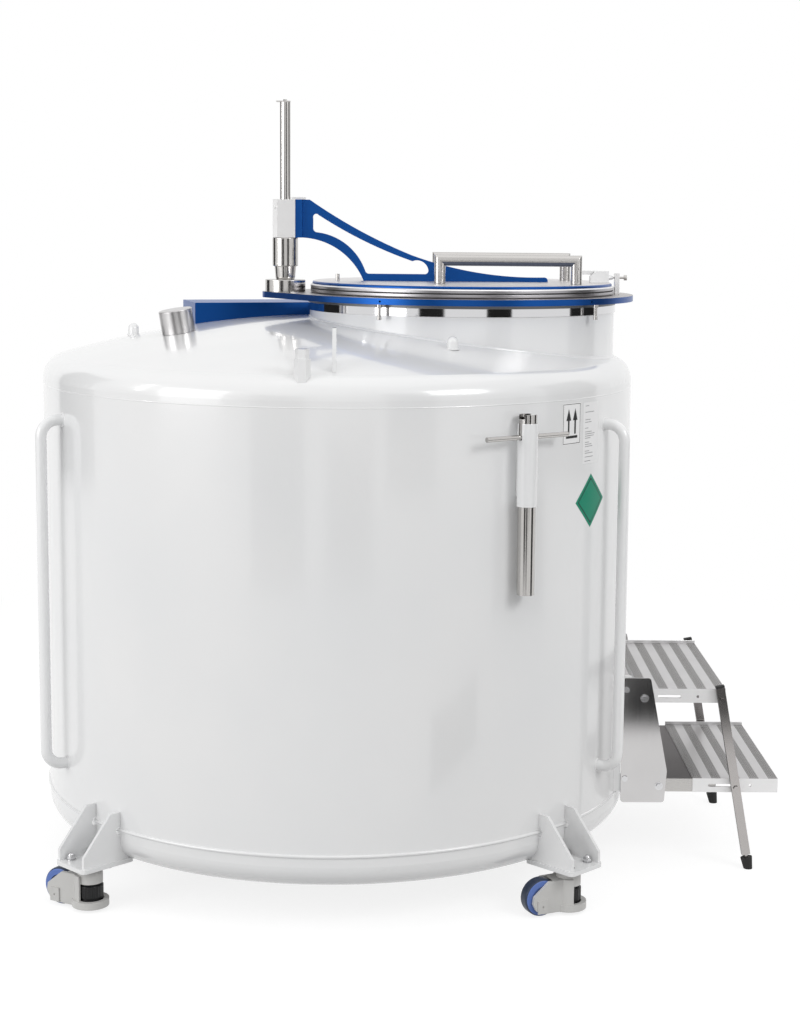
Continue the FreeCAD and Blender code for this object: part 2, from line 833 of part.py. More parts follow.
def make_grip(y):
    """Tube handle with mitred corners."""
    z = lid_top_z + grip_rise - grip_r
    x0 = grip_x0 + grip_r
    x1 = grip_x1 - grip_r
    path = Part.makePolygon([V(x0, y, lid_top_z), V(x0, y, z), V(x1, y, z), V(x1, y, lid_top_z)])

    def sweep(radius):
        ring = Part.Wire(Part.makeCircle(radius, V(x0, y, lid_top_z), UP))
        shell = Part.BRepOffsetAPI.MakePipeShell(path)
        shell.setTransitionMode(1)
        shell.add(ring)
        shell.build()
        shell.makeSolid()
        return shell.shape()

    return sweep(grip_r).cut(sweep(grip_r - grip_wall))


def lock_height():
    """Height of the lock bolt's axis."""
    return lid_top_z + lock_bolt_rise


def lock_post_x():
    """Inner face of the lock post, clear of the lid."""
    return neck_x + lid_r + lock_post_gap


def make_lock_post():
    """Flat post on the ring plate, bored for the bolt."""
    x0 = lock_post_x()
    post = box(x0, x0 + lock_post_t, -lock_post_w / 2, lock_post_w / 2, ring_top_z,
               ring_top_z + lock_post_h)
    hole = rod(lock_bolt_r + lock_bolt_clear, V(x0, 0, lock_height()),
               V(x0 + lock_post_t, 0, lock_height()))
    return post.cut(hole)


def bracket_face_x():
    """Face of the lid bracket that the bolt enters."""
    return lock_post_x() - bracket_gap


def make_lock_bracket():
    """Folded bracket on the lid, with a conical bush that takes the bolt."""
    x1 = bracket_face_x()
    x0 = x1 - bracket_len
    z0 = lid_top_z
    z1 = z0 + bracket_h
    face = loop((x0, z0), [(x1, z0), (x1, z1), (x0 + bracket_slope, z1), (x0, z1 - bracket_slope)])
    body = plate_xz(face, -bracket_w / 2, bracket_w / 2)
    hollow = box(x0, x1 - bracket_wall, -bracket_w / 2 + bracket_wall,
                 bracket_w / 2 - bracket_wall, z0, z1 - bracket_wall)
    bush_x1 = neck_x + lid_r - bush_inset
    bush = Part.makeCone(bush_r, bush_tip_r, bush_x1 - x1, V(x1, 0, lock_height()), V(1, 0, 0))
    hole = rod(lock_bolt_r + lock_bolt_clear, V(x1 - bracket_wall, 0, lock_height()),
               V(bush_x1, 0, lock_height()))
    tongue = box(x0 - bracket_tongue, x0 + bracket_slope, bracket_w / 2 - bracket_wall,
                 bracket_w / 2, z1 - bracket_tongue_h, z1)
    return fused(body.cut(hollow), tongue, bush).cut(hole)


def make_lock_bolt():
    """Bolt that slides into the lid's bush, with a conical nose and a knurled tail."""
    z = lock_height()
    nose_x = neck_x + lid_r + lock_bolt_gap
    post_x1 = lock_post_x() + lock_post_t
    tail_x = post_x1 + lock_bolt_tail
    knob_x = tail_x - lock_bolt_knob_l
    face = loop((nose_x, z),
                [(nose_x, z + lock_bolt_nose_r), (nose_x + lock_bolt_nose, z + lock_bolt_r),
                 (knob_x, z + lock_bolt_r), (knob_x, z + lock_bolt_knob_r),
                 (tail_x, z + lock_bolt_knob_r), (tail_x, z)])
    return face.revolve(V(nose_x, 0, z), V(1, 0, 0), 360)


def make_rear_beam(jacket):
    """Box beam on the dome, from behind the post to the neck."""
    along = polar(1.0, beam_turn)
    across = polar(1.0, beam_turn + 90.0)
    start = V(beam_end_x, beam_end_y, dome_knuckle_z)
    corners = [start, start + along * beam_inner_len,
               start + along * beam_inner_len + across * beam_w, start + across * beam_w, start]
    beam = Part.Face(Part.makePolygon(corners)).extrude(V(0, 0, beam_top_z - dome_knuckle_z))
    neck = Part.makeCylinder(neck_r + band_t, ring_z, V(neck_x, 0, 0))
    beam = beam.cut([jacket, neck])
    return max(beam.Solids, key=lambda s: s.Volume)


def dome_normal(place):
    """Direction that stands square on the crown of the dome."""
    centre = V(0, 0, dome_z(0.0) - top_crown_r)
    way = place - centre
    way.normalize()
    return way


def make_vacuum_port(jacket):
    """Cap over the pump-out port, square on the dome."""
    foot = polar(port_circle_r, port_angle, dome_z(port_circle_r))
    way = dome_normal(foot)
    cap = Part.makeCylinder(port_r, port_h, foot, way)
    rim = [e for e in cap.Edges if e.Closed and (e.BoundBox.Center - foot).Length > port_h / 2]
    cap = cap.makeChamfer(port_edge, rim[:1])
    hollow = Part.makeCylinder(port_r - port_wall, port_h - port_wall, foot - way, way)
    return cap.cut([hollow, jacket])


def make_dome_studs(jacket):
    """Round-ended studs on the dome."""
    studs = []
    for angle in cap_stud_angles:
        foot = polar(cap_stud_circle_r, angle, dome_z(cap_stud_circle_r))
        base = Part.makeCylinder(cap_stud_r, 2 * cap_stud_h - cap_stud_r,
                                 foot - V(0, 0, cap_stud_h))
        nose = Part.makeSphere(cap_stud_r, foot + V(0, 0, cap_stud_h - cap_stud_r))
        studs.append(fused(base, nose).cut(jacket))
    return Part.makeCompound(studs)


def make_lifting_lugs(jacket):
    """Tapered plates with a shackle hole, one each side of the tank."""
    lugs = []
    z0 = dome_z(lug_circle_r)
    for angle in lug_angles:
        low = lug_circle_r - lug_base / 2
        face = loop((low, z0 - lug_root), [(low + lug_base, z0 - lug_root), (low + lug_base, z0),
                                     (lug_circle_r + lug_top / 2, z0 + lug_h),
                                     (lug_circle_r - lug_top / 2, z0 + lug_h), (low, z0)])
        plate = plate_xz(face, -lug_t / 2, lug_t / 2)
        hole = rod(lug_hole_r, V(lug_circle_r, -lug_t, z0 + lug_hole_rise),
                   V(lug_circle_r, lug_t, z0 + lug_hole_rise))
        lug = turned(plate.cut(hole), angle).cut(jacket)
        lugs.append(max(lug.Solids, key=lambda s: s.Volume))
    return Part.makeCompound(lugs)


def make_relief_plug(jacket):
    """Stepped hexagonal plug on the shoulder of the dome."""
    foot = polar(relief_circle_r, relief_angle, dome_knuckle_z)
    rise = dome_z(relief_circle_r) - dome_knuckle_z
    base = hexagon(relief_base_flats, rise + relief_base_h, foot)
    top = hexagon(relief_top_flats, relief_top_h, foot + V(0, 0, rise + relief_base_h))
    return fused(base, top).cut(jacket)


def make_side_handle(angle, jacket):
    """Bent tube, welded to the shell at both ends."""
    out = shell_r + handle_standoff
    bend = handle_bend_r
    kink = bend * (1.0 - math.sqrt(0.5))
    start = V(shell_r - handle_r, 0, handle_z1)
    a = V(out - bend, 0, handle_z1)
    a_mid = V(out - kink, 0, handle_z1 - kink)
    b = V(out, 0, handle_z1 - bend)
    c = V(out, 0, handle_z0 + bend)
    c_mid = V(out - kink, 0, handle_z0 + kink)
    d = V(out - bend, 0, handle_z0)
    end = V(shell_r - handle_r, 0, handle_z0)
    path = Part.Wire([Part.makeLine(start, a), Part.Arc(a, a_mid, b).toShape(),
                      Part.makeLine(b, c), Part.Arc(c, c_mid, d).toShape(),
                      Part.makeLine(d, end)])

    def sweep(radius):
        ring = Part.Wire(Part.makeCircle(radius, start, V(1, 0, 0)))
        return path.makePipeShell([ring], True, True)

    tube = sweep(handle_r).cut(sweep(handle_r - handle_wall))
    return turned(tube, angle).cut(jacket)


def make_key():
    """Tube key with its cross bar, and a flat cut in its top."""
    centre = V(key_circle_r, 0, 0)
    tube = Part.makeCylinder(key_r, key_top_z - key_bottom_z, centre + V(0, 0, key_bottom_z))
    bore = Part.makeCylinder(key_r - key_wall, key_top_z - key_bottom_z,
                             centre + V(0, 0, key_bottom_z))
    bar_z = holder_z1 - holder_notch + key_bar_r + slide_clear
    bar = rod(key_bar_r, V(key_circle_r, -key_bar_len / 2, bar_z),
              V(key_circle_r, key_bar_len / 2, bar_z))
    flat = box(key_circle_r - key_r / 2, key_circle_r + key_r / 2, -key_r, key_r,
               key_top_z - key_flat_h, key_top_z)
    return turned(fused(tube.cut([bore, flat]), bar), key_angle)


def make_key_holder(jacket):
    """White sleeve on a rib, notched each side for the key's bar."""
    centre = V(key_circle_r, 0, holder_z0)
    tall = holder_z1 - holder_z0
    inner = key_r + holder_clear
    outer = inner + holder_wall
    sleeve = Part.makeCylinder(outer, tall, centre)
    rib = box(shell_r - trim_depth, key_circle_r, -holder_rib_t / 2, holder_rib_t / 2,
              holder_z0 + holder_rib_inset, holder_z1 - holder_rib_inset)
    body = fused(sleeve, rib)
    bore = Part.makeCylinder(inner, tall, centre)
    half = key_bar_r + holder_clear
    notch = box(key_circle_r - half, key_circle_r + half, -outer, outer, holder_z1 - holder_notch,
                holder_z1)
    return turned(body.cut([bore, notch]), key_angle).cut(jacket)


def make_caster_bracket(angle, jacket):
    """Base plate and two gussets, with mouse holes over the seam."""
    half = plate_w / 2
    plate = box(plate_inner_r, plate_outer_r, -half, half, caster_h, plate_z)
    plate = plate.makeFillet(plate_corner_r, edges_along(plate, UP))
    toe = plate_outer_r - gusset_toe_gap
    root = shell_r - trim_depth
    face = loop((plate_inner_r + gusset_inset, plate_z),
                [(toe, plate_z), (toe, plate_z + gusset_toe_h),
                 (shell_r + gusset_top_w, gusset_top_z), (root, gusset_top_z),
                 (root, plate_z + gusset_root_rise)])
    hole = rod(mouse_hole_r, V(shell_r, -half, bottom_seam_z + bead_r),
               V(shell_r, half, bottom_seam_z + bead_r))
    sides = []
    for side in (-1, 1):
        y = side * gusset_spread / 2
        gusset = plate_xz(face, y - gusset_t / 2, y + gusset_t / 2)
        sides.append(gusset.cut(hole))
    bracket = fused(plate, *sides)
    holes = [Part.makeCylinder(caster_bolt_r + caster_bolt_clear, plate_t, place)
             for place in bolt_places(caster_h)]
    bracket = turned(bracket.cut(holes), angle).cut(jacket)
    return max(bracket.Solids, key=lambda s: s.Volume)


def bolt_places(z):
    """The four bolts of a caster, before it is turned to its corner."""
    half = caster_bolt_pitch / 2
    return [V(caster_circle_r + i * half, j * half, z) for i in (-1, 1) for j in (-1, 1)]


def make_caster_mounts():
    """Mounting plates of the casters, each with its four bolts and cap nuts."""
    solids = []
    half = caster_plate_w / 2
    for angle in caster_angles:
        low = caster_h - caster_plate_t
        plate = box(caster_circle_r - half, caster_circle_r + half, -half, half, low, caster_h)
        holes = [Part.makeCylinder(caster_bolt_r + caster_bolt_clear, caster_plate_t, place)
                 for place in bolt_places(low)]
        solids.append(turned(plate.cut(holes), angle))
        for place in bolt_places(low):
            shank = Part.makeCylinder(caster_bolt_r, caster_plate_t + plate_t, place)
            head = hexagon(caster_bolt_flats, caster_bolt_head_h,
                           place - V(0, 0, caster_bolt_head_h))
            nut_foot = V(place.x, place.y, plate_z)
            nut = hexagon(caster_bolt_flats, caster_nut_h, nut_foot)
            dome = Part.makeSphere(caster_nut_dome_r, nut_foot + V(0, 0, caster_nut_h), UP, 0, 90,
                                   360)
            solids.append(turned(fused(shank, head, nut, dome), angle))
    return Part.makeCompound(solids)


def to_caster(shape, index):
    """Set a caster piece, modelled with its swivel on the Z axis and trailing to +X, in its place."""
    shape = turned(shape, caster_turn[index])
    return shape.translated(polar(caster_circle_r, caster_angles[index]))


def swivel_top():
    """Top of the turning housing, just below the mounting plate."""
    return caster_h - caster_plate_t - swivel_gap


def crown_z():
    """Underside of the solid crown of the housing, into which the foot's stem is threaded."""
    return swivel_top() - swivel_h - crown_h


def make_caster_housing():
    """Cast housing: swivel head, half barrel, foot ring, and the two cheeks that hold the wheel."""
    head_z = crown_z()
    crown_top = head_z + crown_h
    bore_r = barrel_r - barrel_wall
    open_x = barrel_r * window_share
    head = Part.makeCone(crown_r, swivel_r, swivel_h, V(0, 0, crown_top))
    crown = Part.makeCylinder(crown_r, crown_h, V(0, 0, head_z))
    barrel = Part.makeCylinder(barrel_r, crown_top - foot_ring_z1, V(0, 0, foot_ring_z1))
    barrel = barrel.cut([Part.makeCylinder(bore_r, head_z - foot_ring_z1, V(0, 0, foot_ring_z1)),
                         box(-2 * barrel_r, open_x, -2 * barrel_r, 2 * barrel_r, foot_ring_z1,
                             crown_top)])
    ring = Part.makeCylinder(foot_ring_r, foot_ring_z1 - foot_ring_z0, V(0, 0, foot_ring_z0))
    shape = fused(head, crown, barrel, ring)
    inner = wheel_w / 2 + cheek_gap
    face = loop((cheek_root, crown_top),
                [(wheel_trail - cheek_fold, crown_top)]
                + [(wheel_trail + x, wheel_r + z) for x, z in cheek_run]
                + [(cheek_root, foot_ring_z0)])
    boss_x = wheel_trail + boss_shift
    boss_z = wheel_r - boss_drop
    pieces = []
    holes = []
    for side in (-1, 1):
        y0 = side * inner
        y1 = side * (inner + cheek_t)
        pieces.append(plate_xz(face, min(y0, y1), max(y0, y1)))
        boss_y = side * (inner + cheek_t + boss_t)
        pieces.append(box(boss_x - boss_w / 2, boss_x + boss_w / 2, min(y1, boss_y),
                          max(y1, boss_y), boss_z - boss_h / 2, boss_z + boss_h / 2))
        holes.append(rod(boss_hole_r, V(boss_x, boss_y - side * boss_hole_depth, boss_z),
                         V(boss_x, boss_y, boss_z)))
    roof = box(cheek_root, barrel_r + roof_over, -inner, inner, head_z, crown_top)
    shape = fused(shape, *pieces, roof)
    axle = rod(axle_r, V(wheel_trail, -inner - cheek_t / 2, wheel_r),
               V(wheel_trail, inner + cheek_t / 2, wheel_r))
    wheel_well = Part.makeCylinder(wheel_r + wheel_room, 2 * inner,
                                   V(wheel_trail, inner, wheel_r), V(0, -1, 0))
    bore = Part.makeCylinder(bore_r, head_z, V(0, 0, 0))
    stem = Part.makeCylinder(foot_stem_r + foot_stem_clear, crown_top, V(0, 0, 0))
    shape = shape.cut([wheel_well, bore, stem] + holes)
    return fused(shape, axle)


def make_caster_wheel():
    """Wheel with a recessed hub each side."""
    half = wheel_w / 2
    bore = axle_r + axle_clear
    boss = axle_r + wheel_boss
    lip = wheel_hub_r + wheel_hub_lip
    floor = half - wheel_recess
    r = wheel_r
    flank = wheel_r - wheel_edge
    kink = wheel_edge * (1.0 - math.sqrt(0.5))
    face = loop((bore, -half),
                [(boss, -half), (boss, -floor), (wheel_hub_r, -floor), (lip, -half),
                 (flank, -half), ((r - kink, kink - half), (r, wheel_edge - half)),
                 (r, half - wheel_edge), ((r - kink, half - kink), (flank, half)),
                 (lip, half), (wheel_hub_r, floor), (boss, floor), (boss, half), (bore, half)])
    wheel = spun(face)
    wheel.rotate(V(0, 0, 0), V(1, 0, 0), 90)
    return wheel.translated(V(wheel_trail, 0, wheel_r))


def make_caster_foot():
    """Levelling foot: a pad, an adjusting wheel and its stem."""
    r = min(barrel_r - barrel_wall - foot_clear, wheel_trail - wheel_r - foot_wheel_gap)
    pad_top = foot_pad_z + foot_pad_h
    knob_z = pad_top + foot_shoulder
    knob_top = pad_top + foot_knob_h
    stem_z = crown_z() + crown_h - foot_stem_clear
    face = loop((0, foot_pad_z),
                [(r - foot_edge, foot_pad_z), (r, foot_pad_z + foot_edge), (r, pad_top),
                 (r - foot_waist, pad_top), (r - foot_waist, knob_z), (r, knob_z),
                 (r, knob_top - foot_edge), (r - foot_edge, knob_top), (foot_stem_r, knob_top),
                 (foot_stem_r, stem_z), (0, stem_z)])
    return spun(face)


def make_step_strips(jacket):
    """Slotted strips on the shell that carry the step's side plates."""
    strips = []
    for side in (-1, 1):
        y_in = side * (side_plate_y - strip_t)
        y_out = side * side_plate_y
        strip = box(shell_r - strip_root, strip_x1, min(y_in, y_out), max(y_in, y_out), strip_z0,
                    strip_z1)
        holes = []
        slot_x = strip_x1 - strip_slot_inset
        for z in (strip_z0 + strip_slot_end, strip_z1 - strip_slot_end):
            holes.append(box(slot_x, slot_x + strip_slot_w, -side_plate_y, side_plate_y,
                             z - strip_slot_h / 2, z + strip_slot_h / 2))
        for x, z in screw_points():
            holes.append(rod(pivot_r + pivot_clear, V(x, -side_plate_y, z), V(x, side_plate_y, z)))
        strip = strip.cut(holes).cut(jacket)
        strips.append(max(strip.Solids, key=lambda s: s.Volume))
    return Part.makeCompound(strips)


def screw_points():
    """Screws that hold a side plate to its strip."""
    x = strip_x1 - screw_inset
    return [(x, side_plate_z0 + screw_low_rise), (x, side_plate_z1 - screw_high_drop)]


def make_side_plate(side):
    """Side plate of the step, cut away towards the top."""
    x0 = side_plate_x0
    face = loop((x0, side_plate_z0),
                [(x0 + side_plate_foot_w, side_plate_z0),
                 (x0 + side_plate_w, side_plate_z0 + side_plate_wide_rise),
                 (x0 + side_plate_top_w, side_plate_z1), (x0, side_plate_z1)])
    y0 = side * side_plate_y
    y1 = side * (side_plate_y + side_plate_t)
    plate = plate_xz(face, min(y0, y1), max(y0, y1))
    plate = plate.makeFillet(side_plate_corner, edges_along(plate, V(0, 1, 0)))
    holes = []
    for x, z in screw_points() + [(pivot_upper_x, pivot_upper_z), (pivot_lower_x, pivot_lower_z)]:
        holes.append(rod(pivot_r + pivot_clear, V(x, y0, z), V(x, y1, z)))
    return plate.cut(holes)


def make_step_bolts():
    """Pivot bolts and screws through the side plates."""
    bolts = []
    outer = side_plate_y + side_plate_t
    inner = step_half_w - rail_t - arm_bar_t - pivot_reach
    for side in (-1, 1):
        for x, z in ((pivot_upper_x, pivot_upper_z), (pivot_lower_x, pivot_lower_z)):
            shank = rod(pivot_r, V(x, side * inner, z), V(x, side * outer, z))
            seat = side * (outer + pivot_washer_t)
            washer = rod(pivot_washer_r, V(x, side * outer, z), V(x, seat, z))
            nut = hexagon(pivot_nut_flats, pivot_head_h, V(x, seat, z), V(0, side, 0))
            bolts.append(fused(shank, washer, nut))
        for x, z in screw_points():
            shank = rod(pivot_r, V(x, side * (side_plate_y - strip_t), z), V(x, side * outer, z))
            head = rod(pivot_head_r, V(x, side * outer, z), V(x, side * (outer + screw_head_h), z))
            bolts.append(fused(shank, head))
    return Part.makeCompound(bolts)


def make_tread(x0, top_z):
    """Tread: a ribbed plank held between two slotted rails, as one welded piece."""
    x1 = x0 + tread_deep
    plank_w = step_half_w - rail_t
    plank = box(x0, x1, -plank_w, plank_w, top_z - tread_t, top_z)
    strip_pitch = (tread_deep - groove_count * groove_pitch) / (strip_count - 1)
    grooves = []
    for k in range(strip_count):
        for g in range(groove_count):
            gx = x0 + k * strip_pitch + g * groove_pitch + (groove_pitch - groove_w) / 2
            grooves.append(box(gx, gx + groove_w, -plank_w + rail_lip, plank_w - rail_lip,
                               top_z - groove_depth, top_z))
    hollow_w = plank_w - plank_wall
    hollow = box(x0 + plank_wall, x1 - plank_wall, -hollow_w, hollow_w, top_z - tread_t,
                 top_z - plank_skin)
    plank = plank.cut(grooves + [hollow])
    rails = []
    for side in (-1, 1):
        y0 = side * (step_half_w - rail_t)
        y1 = side * step_half_w
        rails.append(box(x0, x1, min(y0, y1), max(y0, y1), top_z - rail_h, top_z))
    return fused(plank, *rails)


def through_rails(x, z, radius):
    """Round hole through both rails of a tread."""
    return rod(radius, V(x, -step_half_w, z), V(x, step_half_w, z))


def rail_holes(x0, z, slot_x):
    """Slot and small hole in both rails."""
    slot = slot_cutter(slot_x, z, rail_slot_len, rail_slot_h, -step_half_w, step_half_w)
    small = through_rails(x0 + tread_deep - rail_hole_inset, z, rail_hole_r)
    return [slot, small]


def make_upper_tread():
    """Upper tread, hinged on the side plates near its inner edge."""
    tread = make_tread(upper_tread_x, upper_tread_z)
    cuts = rail_holes(upper_tread_x, upper_tread_z - rail_h / 2 - rail_slot_drop,
                      upper_tread_x + rail_slot_upper)
    cuts.append(through_rails(pivot_upper_x, pivot_upper_z, pivot_r + pivot_clear))
    cuts.append(through_rails(pivot_leg_x, pivot_upper_z, pivot_r + pivot_clear))
    return tread.cut(cuts)


def make_lower_tread():
    """Lower tread, carried by the lower arms."""
    tread = make_tread(lower_tread_x, lower_tread_z)
    cuts = rail_holes(lower_tread_x, lower_tread_z - rail_h / 2,
                      lower_tread_x + rail_slot_lower)
    cuts.append(through_rails(pivot_leg_low_x, pivot_lower_z, pivot_r + pivot_clear))
    arm_out = step_half_w - rail_t
    for side in (-1, 1):
        y0 = side * (arm_out - arm_bar_t)
        y1 = side * arm_out
        cuts.append(box(lower_tread_x, lower_tread_x + arm_lap, min(y0, y1), max(y0, y1),
                        lower_tread_z - rail_h, lower_tread_z - rail_lip_t))
    return tread.cut(cuts)


def make_lower_arms():
    """Two flat arms from the side plates to the lower tread, joined by a sheet."""
    z0 = pivot_lower_z - arm_bar_h / 2
    z1 = z0 + arm_bar_h
    x0 = pivot_lower_x - arm_bar_h / 2
    x1 = lower_tread_x + arm_lap
    r = arm_bar_h / 2
    face = loop((pivot_lower_x, z0), [(x1, z0), (x1, z1), (pivot_lower_x, z1),
                                      ((x0, pivot_lower_z), (pivot_lower_x, z0))])
    outer = step_half_w - rail_t
    bars = []
    for side in (-1, 1):
        y0 = side * (outer - arm_bar_t)
        y1 = side * outer
        bars.append(plate_xz(face, min(y0, y1), max(y0, y1)))
    sheet = box(pivot_lower_x + r, lower_tread_x, -outer + arm_bar_t, outer - arm_bar_t,
                z1 - arm_sheet_t, z1)
    hole = through_rails(pivot_lower_x, pivot_lower_z, pivot_r + pivot_clear)
    return fused(bars[0], bars[1], sheet).cut(hole)


def leg_frame():
    """Direction down a leg, its lean in degrees and its length below the upper pivot."""
    lean = math.atan(leg_run)
    down = V(math.sin(lean), 0, -math.cos(lean))
    below = (pivot_upper_z - leg_foot_h - leg_stem_h) / math.cos(lean)
    return down, math.degrees(lean), below


def along_leg(shape, lean, y_mid):
    """Set a piece, modelled upright with the upper pivot at the origin, in the line of a leg."""
    shape.rotate(V(0, 0, 0), V(0, 1, 0), -lean)
    shape.translate(V(pivot_leg_x, y_mid, pivot_upper_z))
    return shape


def leg_section(inset, z0, z1):
    """Length of the leg's rectangular section, from z0 to z1 along the leg."""
    w = leg_w / 2 - inset
    d = leg_d / 2 - inset
    return box(-w, w, -d, d, z0, z1)


def make_legs():
    """Rectangular tube legs with their pivot bolts and foot stems."""
    legs = []
    down, lean, below = leg_frame()
    outer = leg_y + leg_d
    for side in (-1, 1):
        y_mid = side * (leg_y + leg_d / 2)
        tube = leg_section(0, -below, leg_over)
        tube = tube.cut(leg_section(leg_wall, leg_floor_t - below, leg_over))
        tube = along_leg(tube, lean, y_mid)
        end = V(pivot_leg_x, y_mid, pivot_upper_z) + down * below
        parts = [rod(leg_stem_r, end - down * leg_stem_root, end + down * leg_stem_h)]
        for x, z in ((pivot_leg_x, pivot_upper_z), (pivot_leg_low_x, pivot_lower_z)):
            parts.append(rod(pivot_r, V(x, side * (step_half_w - rail_t - pivot_reach), z),
                             V(x, side * outer, z)))
            parts.append(rod(leg_spacer_r, V(x, side * (step_half_w + slide_clear), z),
                             V(x, side * (leg_y + leg_wall), z)))
            parts.append(hexagon(leg_nut_flats, pivot_head_h, V(x, side * outer, z),
                                 V(0, side, 0)))
        legs.append(fused(tube, *parts))
    return Part.makeCompound(legs)


def make_leg_ends():
    """Rubber feet, cut level with the floor, and the caps in the tops of the legs."""
    ends = []
    down, lean, below = leg_frame()
    for side in (-1, 1):
        y_mid = side * (leg_y + leg_d / 2)
        start = V(pivot_leg_x, y_mid, pivot_upper_z) + down * (below + leg_stem_h)
        foot = Part.makeCone(leg_foot_r, leg_foot_r - leg_foot_taper, leg_foot_h * leg_foot_spare,
                             start, down)
        under = Part.makeBox(4 * leg_foot_r, 4 * leg_foot_r, leg_foot_h,
                             V(start.x - 2 * leg_foot_r, y_mid - 2 * leg_foot_r, -leg_foot_h))
        ends.append(foot.cut(under))
        cap = fused(leg_section(0, leg_over, leg_over + leg_cap_t),
                    leg_section(leg_wall, leg_over - leg_cap_plug, leg_over))
        ends.append(along_leg(cap, lean, y_mid))
    return Part.makeCompound(ends)


def build():
    """All pieces by name, still with the tank axis on the Z axis."""
    jacket = jacket_fill()
    nodes = {
        "outer_shell": make_outer_shell(),
        "top_head": make_top_head(),
        "bottom_head": make_bottom_head(),
        "neck_collar": make_neck_collar(jacket),
        "neck_band": make_neck_band(),
        "inner_vessel": make_inner_vessel(),
        "neck_liner": make_neck_liner(),
        "carousel": make_carousel(),
        "ring_plate": make_ring_plate(),
        "ring_studs": make_ring_studs(),
        "post_base": make_post_base(),
        "post_sleeve": make_post_sleeve(),
        "post_tube": make_post_tube(),
        "rear_beam": make_rear_beam(jacket),
        "vacuum_port_cap": make_vacuum_port(jacket),
        "dome_studs": make_dome_studs(jacket),
        "lifting_lugs": make_lifting_lugs(jacket),
        "relief_plug": make_relief_plug(jacket),
        "key": make_key(),
        "key_holder": make_key_holder(jacket),
        "slider_block": make_slider_block(),
        "lid_arm": make_lid_arm(),
        "lid_top_plate": make_lid_top_plate(),
        "lid_disc": make_lid_disc(),
        "lid_plug": make_lid_plug(),
        "lid_handle_front": make_grip(-grip_y),
        "lid_handle_rear": make_grip(grip_y),
        "lock_post": make_lock_post(),
        "lock_bracket": make_lock_bracket(),
        "lock_bolt": make_lock_bolt(),
        "caster_mounts": make_caster_mounts(),
        "step_strips": make_step_strips(jacket),
        "step_side_plate_front": make_side_plate(-1),
        "step_side_plate_rear": make_side_plate(1),
        "step_bolts": make_step_bolts(),
        "upper_tread": make_upper_tread(),
        "lower_tread": make_lower_tread(),
        "lower_arms": make_lower_arms(),
        "step_legs": make_legs(),
        "leg_ends": make_leg_ends(),
    }
    housing = make_caster_housing()
    wheel = make_caster_wheel()
    foot = make_caster_foot()
    for k in range(len(caster_angles)):
        nodes["side_handle_%d" % (k + 1)] = make_side_handle(handle_angles[k], jacket)
        nodes["caster_bracket_%d" % (k + 1)] = make_caster_bracket(caster_angles[k], jacket)
        nodes["caster_housing_%d" % (k + 1)] = to_caster(housing, k)
        nodes["caster_wheel_%d" % (k + 1)] = to_caster(wheel, k)
        nodes["caster_foot_%d" % (k + 1)] = to_caster(foot, k)
    return nodes


def footprint_shift(nodes):
    """Move that brings the middle of the footprint to the origin."""
    everything = Part.makeCompound(list(nodes.values()))
    bounds = everything.optimalBoundingBox(True, False)
    return V(-bounds.Center.x, -bounds.Center.y, -bounds.ZMin)


def main():
    nodes = build()
    shift = footprint_shift(nodes)
    print("shift", round(shift.x, 3), round(shift.y, 3), round(shift.z, 3))
    os.makedirs("parts", exist_ok=True)
    for name, shape in nodes.items():
        shape.translated(shift).exportStep("parts/%s.step" % name)


if __name__ == "__main__":
    main()
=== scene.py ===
# %% [markdown]
# # A liquid nitrogen storage tank
# A white vacuum-jacketed tank stands on four levelling casters. A lid hangs on a post beside the
# neck, and a folding double step helps the operator to reach over the rim. The construction is
# loaded as a fixed frame; this lesson gives every piece its finish and adds the fine detail that a
# construction model leaves out: printed films, cap nuts, tread rails, weld beads, a seal and ribs.

# %% The frame and its box
import json
import math

import bpy
from mathutils import Matrix, Vector


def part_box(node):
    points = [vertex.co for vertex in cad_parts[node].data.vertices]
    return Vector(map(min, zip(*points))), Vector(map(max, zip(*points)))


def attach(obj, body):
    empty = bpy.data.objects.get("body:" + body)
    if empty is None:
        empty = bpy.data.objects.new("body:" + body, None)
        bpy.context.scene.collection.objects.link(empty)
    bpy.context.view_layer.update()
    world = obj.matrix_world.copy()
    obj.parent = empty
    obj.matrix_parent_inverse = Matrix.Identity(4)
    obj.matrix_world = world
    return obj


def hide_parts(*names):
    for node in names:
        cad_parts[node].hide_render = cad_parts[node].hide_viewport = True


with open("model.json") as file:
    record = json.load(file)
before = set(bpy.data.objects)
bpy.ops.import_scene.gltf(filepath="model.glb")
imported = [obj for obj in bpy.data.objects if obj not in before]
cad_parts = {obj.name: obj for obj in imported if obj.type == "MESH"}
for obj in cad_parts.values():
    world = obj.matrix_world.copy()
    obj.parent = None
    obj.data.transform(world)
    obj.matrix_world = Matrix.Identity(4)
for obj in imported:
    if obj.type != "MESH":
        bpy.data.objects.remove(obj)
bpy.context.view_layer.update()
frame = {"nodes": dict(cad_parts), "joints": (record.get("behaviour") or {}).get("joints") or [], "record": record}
bpy.ops.object.select_all(action="DESELECT")

# %% [markdown]
# The same few distances are needed again and again: the tank's axis and radius, the neck's axis,
# the lid's radius and top. They are read from the frame, so that each new piece lies on what carries
# it. The shell's box takes in the weld bead at its bottom seam, which stands proud of the wall.

# %% Places read from the frame
MM = 0.001
BOTTOM_BEAD_R = 4 * MM
LID_PLATE_T = 7 * MM


def middle(node):
    """Middle of a node's box."""
    low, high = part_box(node)
    return (low + high) / 2


def body_of(node):
    """Name of the body that a node belongs to."""
    for name, members in frame["record"]["behaviour"]["bodies"].items():
        if node in members:
            return name
    return None


def radius_of(node):
    """Half of a round node's width along Y."""
    low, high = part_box(node)
    return (high.y - low.y) / 2


